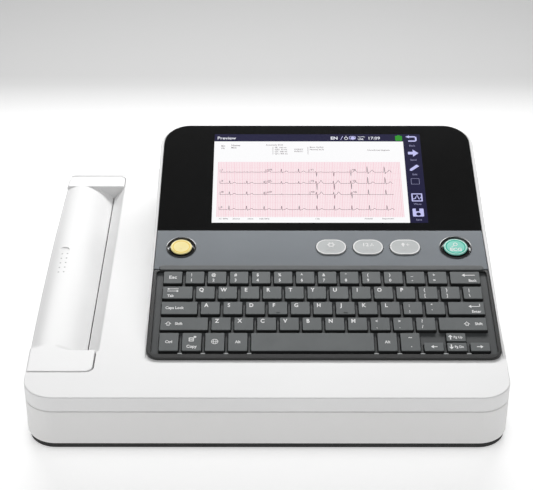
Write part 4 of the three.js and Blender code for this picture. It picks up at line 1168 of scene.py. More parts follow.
def make_screen():
    looks = [NAVY, PAGE, PINK, GRID, TRACE, SCREEN_TEXT, SCREEN_ICON, SCREEN_DIM, SCREEN_GREEN]
    navy, page, pink, grid, trace, text, icon, dim, green = range(len(looks))
    screen = Shape()
    screen.add(sheet_of(SCREEN_LEFT, SCREEN_RIGHT, SCREEN_BOTTOM, SCREEN_TOP, 0), navy, UPPER)
    screen.add(sheet_of(SCREEN_LEFT, PAGE_RIGHT, SCREEN_BOTTOM, PAGE_TOP, 1), page, UPPER)
    left, right, bottom, top = CHART
    screen.add(sheet_of(left, right, bottom, top, 2), pink, UPPER)
    for k in range(int((right - left) / GRID_STEP) + 1):
        x = left + k * GRID_STEP
        half = 0.16 if k % 5 else 0.26
        screen.add(sheet_of(x - half, x + half, bottom, top, 3), grid, UPPER)
    for k in range(int((top - bottom) / GRID_STEP) + 1):
        y = top - k * GRID_STEP
        half = 0.07 if k % 5 else 0.14
        screen.add(sheet_of(left, right, y - half, y + half, 3.2), grid, UPPER)
    for row in range(len(LEADS)):
        line = bar(thinned(trace_points(row)), 0.36, LAYER * 5, LAYER * 6)
        screen.add(line, trace, UPPER)
    for row, (base, leads) in enumerate(LEADS):
        starts = (TRACE_START,) + COLUMNS if row < 3 else (TRACE_START,)
        for (name, *_), x in zip(leads, starts):
            screen.add(words(name, x + 1.2, base + 2.2, 2.6, LAYER * 5, LAYER, align="LEFT"), trace, UPPER)
            pulse = [(x - 0.5, base), (x - 0.5, base + 3.2), (x + 0.5, base + 3.2), (x + 0.5, base)]
            screen.add(bar(pulse, 0.22, LAYER * 5, LAYER * 6), trace, UPPER)
    add_page_text(screen, trace)
    add_title_bar(screen, text, green, icon)
    add_screen_strip(screen, icon, dim, navy)
    made = screen.make("screen_picture", looks)
    return present(made, "case", ())


def add_page_text(screen, look):
    """Small print above and below the chart, in plain clinical words."""
    level = LAYER * 3
    lines = [
        ("ID:", -83.1, 99.6, 3.0), ("HR", -83.1, 96.8, 2.4),
        ("Name:", -74.3, 100.4, 3.0), ("Male", -74.3, 97.6, 2.4),
        ("Automatic ECG", -44.3, 101.2, 2.3),
        ("PR  160 ms", -36.6, 98.0, 2.2), ("QRS  92 ms", -36.6, 95.4, 2.2),
        ("QT  380 ms", -36.6, 92.8, 2.2), ("QTc 405 ms", -36.6, 90.2, 2.2), ("P/QRS/T", -19.7, 95.6, 2.2),
        ("RV5/SV1", -19.7, 93.0, 2.2), ("Sinus rhythm", -6.4, 98.4, 2.3), ("Normal ECG", -6.4, 95.4, 2.3),
        ("Unconfirmed diagnosis", 43.5, 94.8, 2.1),
        ("AC 50Hz", -83.2, 12.2, 2.0), ("25mm/s", -71.9, 12.2, 2.0), ("10mm", -59.6, 12.2, 2.0),
        ("0.05-35Hz", -49.6, 12.2, 2.0), ("12SL", -3.3, 12.2, 2.0), ("Hospital", 37.6, 12.4, 2.0),
        ("Department", 52.1, 12.4, 2.0),
    ]
    for line, x, y, size in lines:
        screen.add(words(line, x, y, size, level, LAYER, 0.01, "LEFT"), look, UPPER)
    for x in (-38.2, -7.9):
        screen.add(bar([(x, 90), (x, 99.6)], 0.3, level, level + LAYER), look, UPPER)


def add_title_bar(screen, text, green, icon):
    """Title, clock and small status signs at the top of the display."""
    low, high = LAYER, 2 * LAYER
    middle = 109.0
    lines = [
        ("Preview", -86.6, middle, 5.0, 0.012), ("EN", 12.0, middle, 5.0, 0.03),
        ("17:09", 44.4, middle, 4.9, 0.012), ("USB", 35.8, middle - 0.6, 2.8, 0.02),
    ]
    for line, x, y, size, bold in lines:
        screen.add(words(line, x, y, size, low, LAYER, bold, "LEFT"), text, UPPER)
    signs = [
        (bar([(36, 112.6), (38, 112.0), (40, 112.8), (42, 112.0)], 0.5, low, high), text),
        (bar([(20.8, 108.6), (22.8, 113.2)], 0.5, low, high), icon),
        (ring_shape(circle(25.6, 110.4, 1.7, 20), 0.5, low, high), text),
        (bar([(25.6, 112.2), (25.6, 113.6)], 0.5, low, high), text),
        (polygon(circle(31.4, 110.6, 1.9, 20), low, high), icon),
        (ring_shape(rectangle(28.2, 34.0, 109.2, 113.2, 1.2), 0.5, high, low + 2 * LAYER), icon),
        (polygon(rectangle(68.4, 74.4, 107.4, 113.6, 0.8), low, high), green),
        (polygon(rectangle(70.2, 72.6, 113.6, 114.4, 0.2), low, high), green),
    ]
    for skin, look in signs:
        screen.add(skin, look, UPPER)


def add_screen_strip(screen, icon, dim, navy):
    """Column of touch symbols on the right of the display."""
    low, high = LAYER, 2 * LAYER
    hook = [(79.2, 112.4), (85.4, 112.4), (86.3, 111.6), (86.3, 107.8), (85.4, 107.0), (79.6, 107.0)]
    arrow = [(78.4, 90.2), (82.6, 90.2), (82.6, 87.4), (87.4, 91.8), (82.6, 96.2), (82.6, 93.4), (78.4, 93.4)]
    pen = [(78.6, 70.2), (80.2, 69.8), (87.0, 75.6), (84.9, 77.6), (78.8, 72.0)]
    wave = [(79.2, 36.0), (81.0, 36.6), (82.7, 40.6), (84.4, 35.6), (86.0, 38.4)]
    signs = [
        (bar(hook, 1.5, low, high), icon),
        (polygon([(77.4, 112.4), (80.6, 114.2), (80.6, 110.6)], low, high), icon),
        (polygon(arrow, low, high), icon),
        (polygon(pen, low, high), icon),
        (ring_shape(rectangle(78.8, 86.0, 53.6, 60.6, 0.6), 0.35, low, high), dim),
        (ring_shape(rectangle(78.0, 87.2, 33.2, 42.6, 0.6), 1.1, low, high), icon),
        (bar(wave, 0.9, low, high), icon),
        (polygon(rectangle(77.9, 87.1, 15.6, 24.8, 0.8), low, high), icon),
        (polygon(rectangle(80.6, 83.6, 21.6, 24.8, 0), high, high + LAYER), navy),
        (polygon(circle(82.6, 18.4, 1.9, 20), high, high + LAYER), navy),
    ]
    for skin, look in signs:
        screen.add(skin, look, UPPER)
    for label, y in (("Back", 100.2), ("Send", 82.5), ("Edit", 64.6), ("Wave", 29.2), ("Save", 11.0)):
        screen.add(words(label, 82.6, y, 2.7, low, LAYER, 0.01), dim, UPPER)


# ---------------------------------------------------------------- button panel
ROUND_BUTTONS = [
    ("power_button", YELLOW, YELLOW_SHEEN_AND_PRINT, "yellow_button"),
    ("ecg_button", GREEN, GREEN_SHEEN, "green_button"),
]
OVAL_BUTTONS = ["setup_button", "leads_button", "filter_button"]
OVAL_LABELS = {"setup_button": "Setup", "leads_button": "Leads", "filter_button": "AC"}
BUTTON_SHIFT = -0.9  # the visible caps sit a little nearer to the keyboard than their switches
FLANGE = 1.5  # edge of a button's CAD solid that is hidden under the panel
DISH_REACH = 3.2
ROUND_SIDES = 64


def oval(low, high, grow):
    radius = (high.y - low.y) / 2 + grow - 0.01
    return rectangle(low.x - grow, high.x + grow, low.y - grow, high.y + grow, radius, 14)


def cap_box(node):
    """Visible cap of a button: its CAD solid without the flange that is hidden under the panel."""
    low, high = local_box(node, LOWER)
    shift = Vector((0, BUTTON_SHIFT, 0))
    return low + Vector((FLANGE, FLANGE, 0)) + shift, high - Vector((FLANGE, FLANGE, 0)) + shift


def round_cap(node):
    """Radius, top and place of a round button's cap."""
    low, high = cap_box(node)
    centre = (low + high) / 2
    return (high.x - low.x) / 2, high.z, LOWER @ Matrix.Translation((centre.x, centre.y, 0))


def make_button_panel():
    outline = panel_outline(lower_half, FRAME_BACK + GAP, -GAP, 0, 1.0, 1.0)
    panel = Shape().add(slab(outline, -3, 0, 0.6, 0.0, 3), 0, LOWER).make("control_panel", [PANEL])
    holes = Shape()
    for node, *_ in ROUND_BUTTONS:
        radius, _, place = round_cap(node)
        wide = radius + DISH_REACH
        holes.add(lathe([(wide, -9), (wide, 9)], ROUND_SIDES), 0, place)
    for node in OVAL_BUTTONS:
        holes.add(slab(oval(*cap_box(node), GAP + 0.15), -9, 9), 0, LOWER)
    carve(panel, holes)
    return present(panel, "case", ["button_panel"])


def round_cap_shape(radius, top, place):
    """Cap in three turned skins: a stem painted black as shade, an edge painted pale as a highlight, and the
    face.
    """
    inner = radius - 1.2
    stem = [(radius + 1.5, -4.6), (radius + 1.5, -3.4), (radius - 1, -3.3), (radius, -3.0),
            (radius, top - 0.75), (inner, top - 0.75)]
    edge = [(radius - 0.05, top - 0.72), (radius - 0.05, top - 0.5), (radius - 0.25, top - 0.2),
            (radius - 0.7, top - 0.05), (inner, top - 0.05)]
    face = [(radius - 1.25, top - 0.7), (radius - 1.25, top - 0.15), (radius - 1.6, top - 0.02),
            (radius * 0.5, top - 0.12), (0.5, top - 0.16)]
    cap = Shape()
    # the stem's black is painted shade, the edge's pale colour a painted highlight
    for profile, look in ((stem, 3), (edge, 1), (face, 0)):
        cap.add(lathe(profile, ROUND_SIDES), look, place)
    return cap


def cap_symbol(node, low, high):
    """Skins of the symbol on a round cap: a power sign, or a circle with a stroke over three letters."""
    if node == "power_button":
        turn = [0.6 + (2 * math.pi - 1.2) * k / 24 for k in range(25)]
        arc = [(2.1 * math.sin(a), 2.1 * math.cos(a)) for a in turn]
        return [bar(arc, 0.55, low, high), bar([(0, 0.6), (0, 2.8)], 0.55, low, high)]
    ring = ring_shape(circle(0, 2.9, 1.85, 24), 0.6, low, high)
    stroke = bar([(-1.2, 1.2), (-3.2, 0.1)], 0.6, low, high)
    return [ring, stroke, words("ECG", 0, -4.9, 5.0, low, 0.32, 0.03)]


def make_round_button(node, look, sheen_look, slot):
    radius, top, place = round_cap(node)
    cap = round_cap_shape(radius, top, place)
    for skin in cap_symbol(node, top - 0.3, top + 0.02):
        cap.add(skin, 2, place)
    cap.add(ring_shape(circle(0, 0, radius - 0.9, ROUND_SIDES), 0.35, top - 0.4, top + 0.01), 2, place)
    print_look = YELLOW_SHEEN_AND_PRINT if node == "power_button" else LEGEND
    made = cap.make(node.replace("button", "cap"), [look, sheen_look, print_look, DISH_BLACK_AND_SHADE])
    return present(made, node + "_body", [node])


def make_dish(node):
    """Ring of a round button: a black dish with a polished lip, set in the panel."""
    radius, _, place = round_cap(node)
    inner = radius + 0.35
    outer = inner + DISH_REACH - 0.45
    profile = [
        (inner, -3), (outer, -3), (outer, 0.1), (outer + 0.35, 0.12), (outer + 0.3, 0.45),
        (outer - 0.15, 0.55), (outer - 0.5, 0.3), (outer - 0.9, -0.6),
        (inner + 0.6, -1.3), (inner + 0.15, -1.2), (inner, -1.4),
    ]
    dish = Shape().add(lathe(profile, ROUND_SIDES, True), 0, place)
    made = dish.make(node.replace("button", "dish"), [DISH_BLACK_AND_SHADE, LIP])

    def on_lip(spot, normal):
        return math.hypot(spot.x, spot.y) > outer - 0.5 and spot.z > 0.05

    paint_faces(made, place, on_lip, 1)
    return present(made, "case", ())


def make_oval_button(node):
    low, high = cap_box(node)
    top = high.z
    shape = Shape()
    shape.add(slab(oval(low, high, 1.4), -4.6, -3.4), 0, LOWER)
    outline = oval(low, high, 0)
    shape.add(slab(outline, -3.0, top, 0.5, 0, 3), 0, LOWER)
    shape.add(ring_shape(inset(outline, 0.15), 1.05, top - 0.5, top + 0.06), 1, LOWER)
    centre = (low + high) / 2
    add_oval_symbol(shape, node, centre, top)
    made = shape.make(node.replace("button", "cap"), [OVAL, LEGEND, FAINT])
    return present(made, node + "_body", [node])


def add_oval_symbol(shape, node, centre, top):
    """White symbol and a word under it."""
    x, y = centre.x, centre.y
    low = top - 0.02
    high = top + 0.1
    if node == "setup_button":
        shape.add(ring_shape(circle(x, y + 2.2, 2.6, 24), 1.2, low, high), 1, LOWER)
        for k in range(6):
            a = math.pi / 3 * k
            tooth = [(x + 2.3 * math.cos(a), y + 2.2 + 2.3 * math.sin(a)),
                     (x + 3.2 * math.cos(a), y + 2.2 + 3.2 * math.sin(a))]
            shape.add(bar(tooth, 1.0, low, high), 1, LOWER)
    elif node == "leads_button":
        shape.add(words("12", x - 2.0, y + 0.4, 5.6, low, 0.12, 0.03), 1, LOWER)
        shape.add(bar([(x + 2.2, y + 0.6), (x + 3.4, y + 4.2), (x + 4.4, y + 0.8)], 0.8, low, high), 1, LOWER)
    else:
        drop = [(x - 1.4, y + 5.0), (x - 2.9, y + 3.0), (x - 1.4, y - 0.2), (x + 0.1, y + 3.0)]
        shape.add(polygon(drop[::-1], low, high), 1, LOWER)
        shape.add(bar([(x + 1.0, y + 2.4), (x + 3.8, y + 2.4)], 0.9, low, high), 1, LOWER)
        shape.add(bar([(x + 2.4, y + 1.1), (x + 2.4, y + 3.7)], 0.9, low, high), 1, LOWER)
    shape.add(words(OVAL_LABELS[node], x, y - 4.2, 3.4, low, 0.06, 0.01), 2, LOWER)


# ---------------------------------------------------------------- keyboard
KEY_GAP = 2.4
BANKS = {"key_row_digits": 12, "key_row_upper": 13, "key_row_home": 11, "key_row_lower": 10}
BANK_SYMBOLS = {
    "key_row_digits": ["! 1", "@ 2", "# 3", "$ 4", "% 5", "^ 6", "& 7", "* 8", "( 9", ") 0", "_ -", "+ ="],
    "key_row_upper": ["Q", "W", "E", "R", "T", "Y", "U", "I", "O", "P", "{ [", "} ]", "| \\"],
    "key_row_home": ["A", "S", "D", "F", "G", "H", "J", "K", "L", ": ;", "\" '"],
    "key_row_lower": ["Z", "X", "C", "V", "B", "N", "M", "< ,", "> .", "? /"],
}
LETTER_SIZE = 5.6
LETTER_WIDTH = 0.8  # the legends are set narrow
PAIR_SIZE = 4.4
WORD_SIZE = 3.9
CAP_TAPER = 0.2
CAP_ROUND = 0.4
CAP_CORNER = 1.0
CAP_STEPS = 4
INK = 0.03  # height of a printed legend
LOW, MID, HIGH = 0, 1, 2  # left or front edge, middle, and right or rear edge of a cap
# words on the named keys: text, place across and along as an edge and a distance, size, alignment, width
KEY_WORDS = {
    "key_escape": [("Esc", MID, 0, MID, -1.5, 4.8, "CENTER", 1.0)],
    "key_tab": [("Tab", LOW, 4.0, LOW, 2.0, WORD_SIZE, "LEFT")],
    "key_caps_lock": [("Caps Lock", LOW, 3.2, MID, -1.2, WORD_SIZE, "LEFT")],
    "key_shift_left": [("Shift", LOW, 11.4, MID, -1.3, WORD_SIZE, "LEFT")],
    "key_shift_right": [("Shift", HIGH, -3.4, MID, -1.3, WORD_SIZE, "RIGHT")],
    "key_backspace": [("Back", HIGH, -3.2, LOW, 2.2, WORD_SIZE, "RIGHT")],
    "key_enter": [("Enter", HIGH, -3.0, LOW, 1.9, WORD_SIZE, "RIGHT")],
    "key_control": [("Ctrl", MID, 0, MID, -1.4)],
    "key_alt_left": [("Alt", MID, 0, MID, -1.4)],
    "key_alt_right": [("Alt", MID, 0, MID, -1.4)],
    "key_copy": [("Copy", MID, 0, LOW, 3.3, 4.2)],
    "key_tilde": [("~", MID, 0, HIGH, -6.6, 5.4), ("`", MID, 0.6, LOW, 1.4, 5.4)],
    "key_up": [("Pg Up", LOW, 5.6, MID, -1.2, 3.3, "LEFT")],
    "key_down": [("Pg Dn", LOW, 5.6, MID, -1.2, 3.3, "LEFT")],
}
# arrows on the named keys: place of the tip as above, direction, length, line width and length of the head
KEY_ARROWS = {
    "key_tab": [(LOW, 3.6, HIGH, -3.0, -1, 0, 9), (LOW, 12.8, HIGH, -5.4, 1, 0, 9)],
    "key_backspace": [(HIGH, -14.4, HIGH, -4.4, -1, 0, 10.4, 0.7, 2.4)],
    "key_enter": [(HIGH, -12.4, HIGH, -5.2, -1, 0, 9.1, 0.7, 2.2)],
    "key_left": [(MID, -2.4, MID, 0, -1, 0, 5, 0.7, 2.2)],
    "key_right": [(MID, 2.4, MID, 0, 1, 0, 5, 0.7, 2.2)],
    "key_up": [(LOW, 3.2, MID, 2.4, 0, 1, 5, 0.9, 2.4)],
    "key_down": [(LOW, 3.2, MID, -2.6, 0, -1, 5, 0.9, 2.4)],
}


def key_nodes():
    return sorted(name for name in frame["nodes"] if name.startswith("key_"))


def bank_caps(node):
    """Footprint (x0, x1, y0, y1) of each cap of a key node, from its CAD box."""
    low, high = local_box(node, LOWER)
    count = BANKS.get(node, 1)
    pitch = (high.x - low.x + KEY_GAP) / count
    return [(low.x + k * pitch, low.x + (k + 1) * pitch - KEY_GAP, low.y, high.y) for k in range(count)]


def keycap(x0, x1, y0, y1, bottom, top):
    """Flat-topped cap, a little narrower at the top, with soft edges."""
    outline = rectangle(x0, x1, y0, y1, CAP_CORNER, CAP_STEPS)
    rings = [lifted(outline, bottom)]
    straight = top - CAP_ROUND
    rings.append(lifted(inset(outline, CAP_TAPER), straight))
    for a in quarter(3)[1:]:
        rings.append(lifted(inset(outline, CAP_TAPER + CAP_ROUND * (1 - math.cos(a))),
                            straight + CAP_ROUND * math.sin(a)))
    return loft(rings)


def keycap_looks(skin):
    """Sides painted dark as shade and a lighter top, for each face of a keycap."""
    points, faces = skin
    top = max(point[2] for point in points)
    looks = []
    for face in faces:
        middle = sum(points[k][2] for k in face) / len(face)
        looks.append(2 if middle < top - CAP_ROUND * 0.75 else 0)
    return looks


def ink(shape, skin):
    """Adds a printed legend on the keys' plane."""
    shape.add(skin, 1, LOWER)


def add_pair(shape, pair, cap, top):
    """Upper and lower symbol of a key, one above the other."""
    x0, _, y0, y1 = cap
    for symbol, share in zip(pair.split(" "), (0.6, 0.17)):
        base = y0 + (y1 - y0) * share
        ink(shape, words(symbol, x0 + 4.8, base, PAIR_SIZE, top, bold=0.025, wide=LETTER_WIDTH))


def add_letter(shape, letter, cap, top):
    x0, x1, y0, y1 = cap
    base = y1 - 1.9 - LETTER_SIZE * 0.7
    ink(shape, words(letter, x0 + 4.4, base, LETTER_SIZE, top, bold=0.03, wide=LETTER_WIDTH))
    if letter in "FJ":
        middle = (x0 + x1) / 2
        ridge = rectangle(middle - 1.6, middle + 1.6, y0 + 1.9, y0 + 2.5, 0.25)
        shape.add(slab(ridge, top - 0.1, top + 0.3), 0, LOWER)


def add_word(shape, text, x, y, top, size=WORD_SIZE, align="CENTER", wide=0.85):
    ink(shape, words(text, x, y, size, top, bold=0.025, align=align, wide=wide))


def add_arrow(shape, x, y, top, dx, dy, length, width=0.6, head=1.6):
    """Straight arrow that ends at (x, y) and points along (dx, dy)."""
    tail = (x - dx * length, y - dy * length)
    neck = (x - dx * head, y - dy * head)
    ink(shape, bar([tail, neck], width, top, top + INK))
    side = (-dy * head * 0.75, dx * head * 0.75)
    tip = [(x, y), (neck[0] + side[0], neck[1] + side[1]), (neck[0] - side[0], neck[1] - side[1])]
    ink(shape, polygon(tip, top, top + INK))


def add_shift_symbol(shape, x, y, top):
    """Hollow upward arrow of the shift keys."""
    outline = [(x - 1.1, y - 2.2), (x + 1.1, y - 2.2), (x + 1.1, y - 0.4), (x + 2.6, y - 0.4), (x, y + 2.4),
               (x - 2.6, y - 0.4), (x - 1.1, y - 0.4)]
    ink(shape, ring_shape(outline, 0.5, top, top + INK))


def add_enter_stroke(shape, x, y, top):
    ink(shape, bar([(x, y), (x, y - 2.8)], 0.7, top, top + INK))


def add_copy_symbol(shape, x, y, top):
    """A sheet with a line on it and a dot at its corner."""
    sheet = rectangle(x - 2.4, x + 1.6, y - 2.2, y + 2.0, 0.3, 3)
    ink(shape, ring_shape(sheet, 0.9, top, top + INK))
    ink(shape, bar([(x - 1.2, y - 0.2), (x + 0.5, y - 0.2)], 0.7, top, top + INK))
    ink(shape, polygon(circle(x + 2.3, y + 2.6, 1.1, 16), top, top + INK))


def add_globe(shape, x, y, top):
    ink(shape, ring_shape(circle(x, y, 2.7, 28), 0.5, top, top + INK))
    oval_line = [(x + 1.2 * math.cos(a), y + 2.7 * math.sin(a)) for a in full_turn(28)]
    ink(shape, ring_shape(oval_line, 0.45, top, top + INK))
    ink(shape, bar([(x - 2.5, y), (x + 2.5, y)], 0.45, top, top + INK))


KEY_SYMBOLS = {
    "key_shift_left": (add_shift_symbol, LOW, 6.2, MID, 0),
    "key_shift_right": (add_shift_symbol, HIGH, -15.4, MID, 0),
    "key_enter": (add_enter_stroke, HIGH, -3.6, HIGH, -2.4),
    "key_copy": (add_copy_symbol, MID, 0, MID, 2.4),
    "key_language": (add_globe, MID, 0, MID, 0.2),
}


def add_named_legend(shape, node, cap, top):
    """Symbol, arrows and words of a key that has a name of its own."""
    x0, x1, y0, y1 = cap
    across = (x0, (x0 + x1) / 2, x1)
    along = (y0, (y0 + y1) / 2, y1)
    if node in KEY_SYMBOLS:
        draw, edge_x, dx, edge_y, dy = KEY_SYMBOLS[node]
        draw(shape, across[edge_x] + dx, along[edge_y] + dy, top)
    for edge_x, dx, edge_y, dy, *arrow in KEY_ARROWS.get(node, ()):
        add_arrow(shape, across[edge_x] + dx, along[edge_y] + dy, top, *arrow)
    for text, edge_x, dx, edge_y, dy, *style in KEY_WORDS.get(node, ()):
        add_word(shape, text, across[edge_x] + dx, along[edge_y] + dy, top, *style)


def keycap_shape(node, low, high):
    """Caps of a key node with their legends; the caps of a row hang together on a hidden web."""
    shape = Shape()
    caps = bank_caps(node)
    for cap in caps:
        skin = keycap(*cap, low.z, high.z)
        shape.add(skin, keycap_looks(skin), LOWER)
    if len(caps) > 1:
        middle = (low.y + high.y) / 2
        shape.add(block(low.x + 1, high.x - 1, middle - 2, middle + 2, low.z, low.z + 0.8), 0, LOWER)
    if node not in BANK_SYMBOLS:
        add_named_legend(shape, node, caps[0], high.z)
        return shape
    for symbol, cap in zip(BANK_SYMBOLS[node], caps):
        draw = add_pair if " " in symbol else add_letter
        draw(shape, symbol, cap, high.z)
    return shape


def make_keys():
    for node in key_nodes():
        if node == "key_board":
            continue
        shape = keycap_shape(node, *local_box(node, LOWER))
        piece = shape.make(node.replace("key_", "cap_"), [KEYCAP, LEGEND, KEY_SIDE_SHADE])
        present(piece, node + "_body", [node])


WELL_DEPTH = 1.8
WELL_CORNER = 2.5
WELL_FLARE = 0.4
WELL_MARGIN = {"side": 5.5, "front": 1.9, "rear": 1.0}
TRAY_FRONT = 1.8 - LOWER_LENGTH
TRAY_CORNER = 10
TRAY_REAR_CORNER = 1.8
TRAY_EDGE = 0.8
RIDGE_BAR = {"front": 0.5, "rear": 6.3, "side": 3.9, "radius": 2.4, "height": 1.0, "edge": 0.7}
# pale patches between the front keys: painted light spots
LIGHT_SPOT = {"width": 3.4, "front": 1.8, "rear": 0.3, "height": 0.7}
FRONT_KEYS = ["key_control", "key_copy", "key_language", "key_alt_left", "key_space", "key_alt_right",
              "key_tilde", "key_left", "key_down", "key_right"]


def make_keyboard_frame():
    outline = panel_outline(lower_half, TRAY_FRONT, FRAME_BACK - GAP, 0, TRAY_CORNER, TRAY_REAR_CORNER)
    plate = slab(outline, -FRAME_DEPTH, 0, TRAY_EDGE, 0.0, 4)
    tray = Shape().add(plate, 0, LOWER).make("keyboard_tray", [FRAME])
    tray.data.materials.append(LIT_PLATE)
    tray.data.materials.append(RIDGE)
    boxes = [cap for node in key_nodes() for cap in bank_caps(node)]
    left = min(box[0] for box in boxes)
    right = max(box[1] for box in boxes)
    front = min(box[2] for box in boxes)
    back = max(box[3] for box in boxes)
    side = WELL_MARGIN["side"]
    rear = back + WELL_MARGIN["rear"]
    well = rectangle(left - side, right + side, front - WELL_MARGIN["front"], rear, WELL_CORNER, 6)
    rings = []
    for k in range(5):
        share = k / 4
        rings.append(lifted(inset(well, -WELL_FLARE * share**2), -WELL_DEPTH + (WELL_DEPTH + 0.02) * share))
    rings.append(lifted(inset(well, -WELL_FLARE), 6))
    carve(tray, Shape().add(loft(rings), 0, LOWER))
    holes = Shape()
    for x0, x1, y0, y1 in boxes:
        holes.add(slab(rectangle(x0 - 0.4, x1 + 0.4, y0 - 0.4, y1 + 0.4, 1.1, 3), -20, 5), 0, LOWER)
    carve(tray, holes)
    paint_lit_floor(tray)
    bar_side = RIDGE_BAR["side"]
    ridge = rectangle(left - bar_side, right + bar_side, back + RIDGE_BAR["front"] + WELL_MARGIN["rear"],
                      back + RIDGE_BAR["rear"] + WELL_MARGIN["rear"], RIDGE_BAR["radius"], 6)
    raised = Shape().add(slab(ridge, 0.02, RIDGE_BAR["height"], RIDGE_BAR["edge"], 0.0, 3), 2, LOWER)
    join(tray, raised.make("ridge", [FRAME, LIT_PLATE, RIDGE]))
    # grey of the oval caps, used here for the painted light spots
    tray.data.materials.append(OVAL)
    add_painted_light_spots(tray)
    return present(tray, "case", ["keyboard_frame"])


def add_painted_light_spots(tray):
    """Pale raised patches on the well's floor between the keys of the front row: painted light, the spots
    where light falls through the gaps between the keys.
    """
    caps = [bank_caps(node)[0] for node in FRONT_KEYS]
    painted_light_spots = Shape()
    for left_cap, right_cap in zip(caps, caps[1:]):
        middle = (left_cap[1] + right_cap[0]) / 2
        front = min(left_cap[2], right_cap[2])
        outline = rectangle(middle - LIGHT_SPOT["width"] / 2, middle + LIGHT_SPOT["width"] / 2, front - LIGHT_SPOT["front"],
                            front - LIGHT_SPOT["rear"], 0.3, 3)
        painted_light_spots.add(slab(outline, 0.05 - WELL_DEPTH, LIGHT_SPOT["height"] - WELL_DEPTH), 3, LOWER)
    join(tray, painted_light_spots.make("painted_light_spots", [FRAME, LIT_PLATE, RIDGE, OVAL]))


def paint_lit_floor(tray):
    """The well's floor is painted lighter than the rail round it: painted light, where light falls between
    the keys.
    """
    up = (LOWER.to_3x3() @ Vector((0, 0, 1))).normalized()
    paint_faces(tray, LOWER, lambda spot, normal: abs(spot.z + WELL_DEPTH) < 0.05 and normal.dot(up) > 0.9, 1)


# ---------------------------------------------------------------- carried-over CAD nodes
def finish_nodes():
    looks = {
        "lcd_module": STEEL, "keyboard_board": BOARD, "paper_tray": NYLON, "paper_stack": PAPER,
        "platen_roller": RUBBER, "platen_gear": NYLON, "motor_pinion": BRASS, "paper_motor": STEEL,
        "print_head": DARK_METAL, "main_board": BOARD, "power_supply": BOARD, "battery_pack": WRAP,
        "battery_door": WARM_WHITE, "speaker": CONNECTOR, "ac_inlet": CONNECTOR, "network_port": STEEL,
        "usb_port": STEEL, "ground_stud": BRASS, "patient_connector": CONNECTOR,
    }
    for corner in CORNERS:
        looks["foot_" + corner] = RUBBER
        looks["screw_" + corner] = STEEL
    for name, look in looks.items():
        node = frame["nodes"][name]
        node.data.materials.clear()
        node.data.materials.append(look)
        node.data.shade_smooth()
        node.data.set_sharp_from_angle(angle=SHARP_ANGLE)


# ---------------------------------------------------------------- camera, floor and lights
CAMERA = {"lens": 101.6, "sensor": 36, "clip": 20}
CAMERA.update({"place": (0.0006, -1.0362, 0.7250), "tilt": 57.8, "turn": 0.063})
BACKDROP_NEAR = 0.25  # metres behind the middle of the machine, where the floor's painted shade starts and stops; its painted glow fades over the same span
BACKDROP_FAR = 0.68
FLOOR_REACH = 3.0
SWEEP_START = 0.55
SWEEP_RADIUS = 0.9
WORLD_STRENGTH = 0.37
# name, place, target, size, power
LIGHTS = [
    ("overhead", (0.0, -0.10, 1.25), (0, 0, 0), (1.1, 0.5), 1.9),
    ("front_fill", (-0.5, -1.7, 0.9), (0, 0, 0.05), (1.4, 1.0), 2.5),
    ("rear_key", (0.0, 0.85, 0.75), (0, 0.05, 0.05), (1.3, 0.3), 12),
]


def aim(piece, target):
    piece.rotation_euler = (Vector(target) - piece.location).to_track_quat("-Z", "Y").to_euler()


def make_camera():
    data = bpy.data.cameras.new("camera")
    data.lens = CAMERA["lens"]
    data.sensor_width = CAMERA["sensor"]
    data.clip_end = CAMERA["clip"]
    camera = bpy.data.objects.new("camera", data)
    camera.location = CAMERA["place"]
    camera.rotation_euler = (math.radians(CAMERA["tilt"]), 0, math.radians(CAMERA["turn"]))
    bpy.context.scene.collection.objects.link(camera)
    bpy.context.scene.camera = camera


def area_light(name, place, target, size, power):
    data = bpy.data.lights.new(name, "AREA")
    data.shape = "RECTANGLE"
    data.size, data.size_y = size
    data.energy = power
    light = bpy.data.objects.new(name, data)
    light.location = place
    bpy.context.scene.collection.objects.link(light)
    aim(light, target)


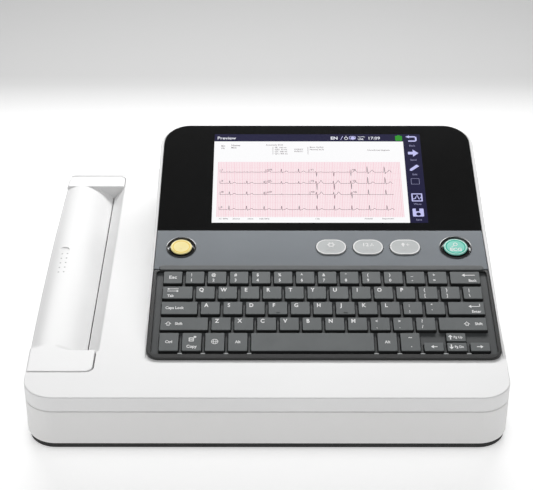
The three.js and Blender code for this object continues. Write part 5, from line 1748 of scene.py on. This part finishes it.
def backdrop_material():
    """Near white floor that glows near the machine as painted light, and turns a little greyer far behind it
    as painted shade.
    """
    look, nodes, links = node_material("studio_floor")
    shader = nodes["Principled BSDF"]
    coordinates = nodes.new("ShaderNodeTexCoord")
    split = nodes.new("ShaderNodeSeparateXYZ")
    links.new(coordinates.outputs["Object"], split.inputs["Vector"])
    depth = nodes.new("ShaderNodeMapRange")
    fill(depth, {"From Min": BACKDROP_NEAR, "From Max": BACKDROP_FAR})
    links.new(split.outputs["Y"], depth.inputs["Value"])
    distance = depth.outputs["Result"]
    # painted shade: the floor turns greyer far behind the machine
    colour = ramp(nodes, links, distance, [(0.0, shade(0.91)), (0.45, shade(0.46)), (1.0, shade(0.37))])
    links.new(colour, shader.inputs["Base Color"])
    # painted light: the floor glows near the machine, though it is no lamp
    glow = ramp(nodes, links, distance, [(0.0, shade(0.42)), (0.5, shade(0.02)), (1.0, shade(0.0))])
    links.new(glow, shader.inputs["Emission Color"])
    fill(shader, {"Emission Strength": 1.0, "Roughness": 0.75})
    return look


def make_sweep():
    """Pale sweep: a level floor that curves up far behind the machine."""
    line = [(-FLOOR_REACH, 0), (SWEEP_START, 0)]
    for a in quarter(16)[1:]:
        line.append((SWEEP_START + SWEEP_RADIUS * math.sin(a), SWEEP_RADIUS * (1 - math.cos(a))))
    line.append((SWEEP_START + SWEEP_RADIUS, 3.0))
    points = [(x, y, z) for y, z in line for x in (-FLOOR_REACH, FLOOR_REACH)]
    faces = [(2 * i, 2 * i + 1, 2 * i + 3, 2 * i + 2) for i in range(len(line) - 1)]
    mesh = bpy.data.meshes.new("studio_sweep")
    mesh.from_pydata(points, [], faces)
    mesh.materials.append(backdrop_material())
    mesh.shade_smooth()
    sweep = bpy.data.objects.new("studio_sweep", mesh)
    bpy.context.scene.collection.objects.link(sweep)


def make_studio():
    make_sweep()
    world = bpy.data.worlds.new("studio")
    world.use_nodes = True
    fill(world.node_tree.nodes["Background"], {"Color": (1, 1, 1, 1), "Strength": WORLD_STRENGTH})
    bpy.context.scene.world = world
    for light in LIGHTS:
        area_light(*light)
    bpy.context.scene.view_settings.view_transform = "Standard"


make_camera()
make_studio()
make_deck()
make_console_wall()
make_lower_case()
make_shadow_plinth()
make_recorder_door()
make_display_window()
make_screen()
make_button_panel()
for row in ROUND_BUTTONS:
    make_round_button(*row)
    make_dish(row[0])
for name in OVAL_BUTTONS:
    make_oval_button(name)
make_keys()
make_keyboard_frame()
finish_nodes()
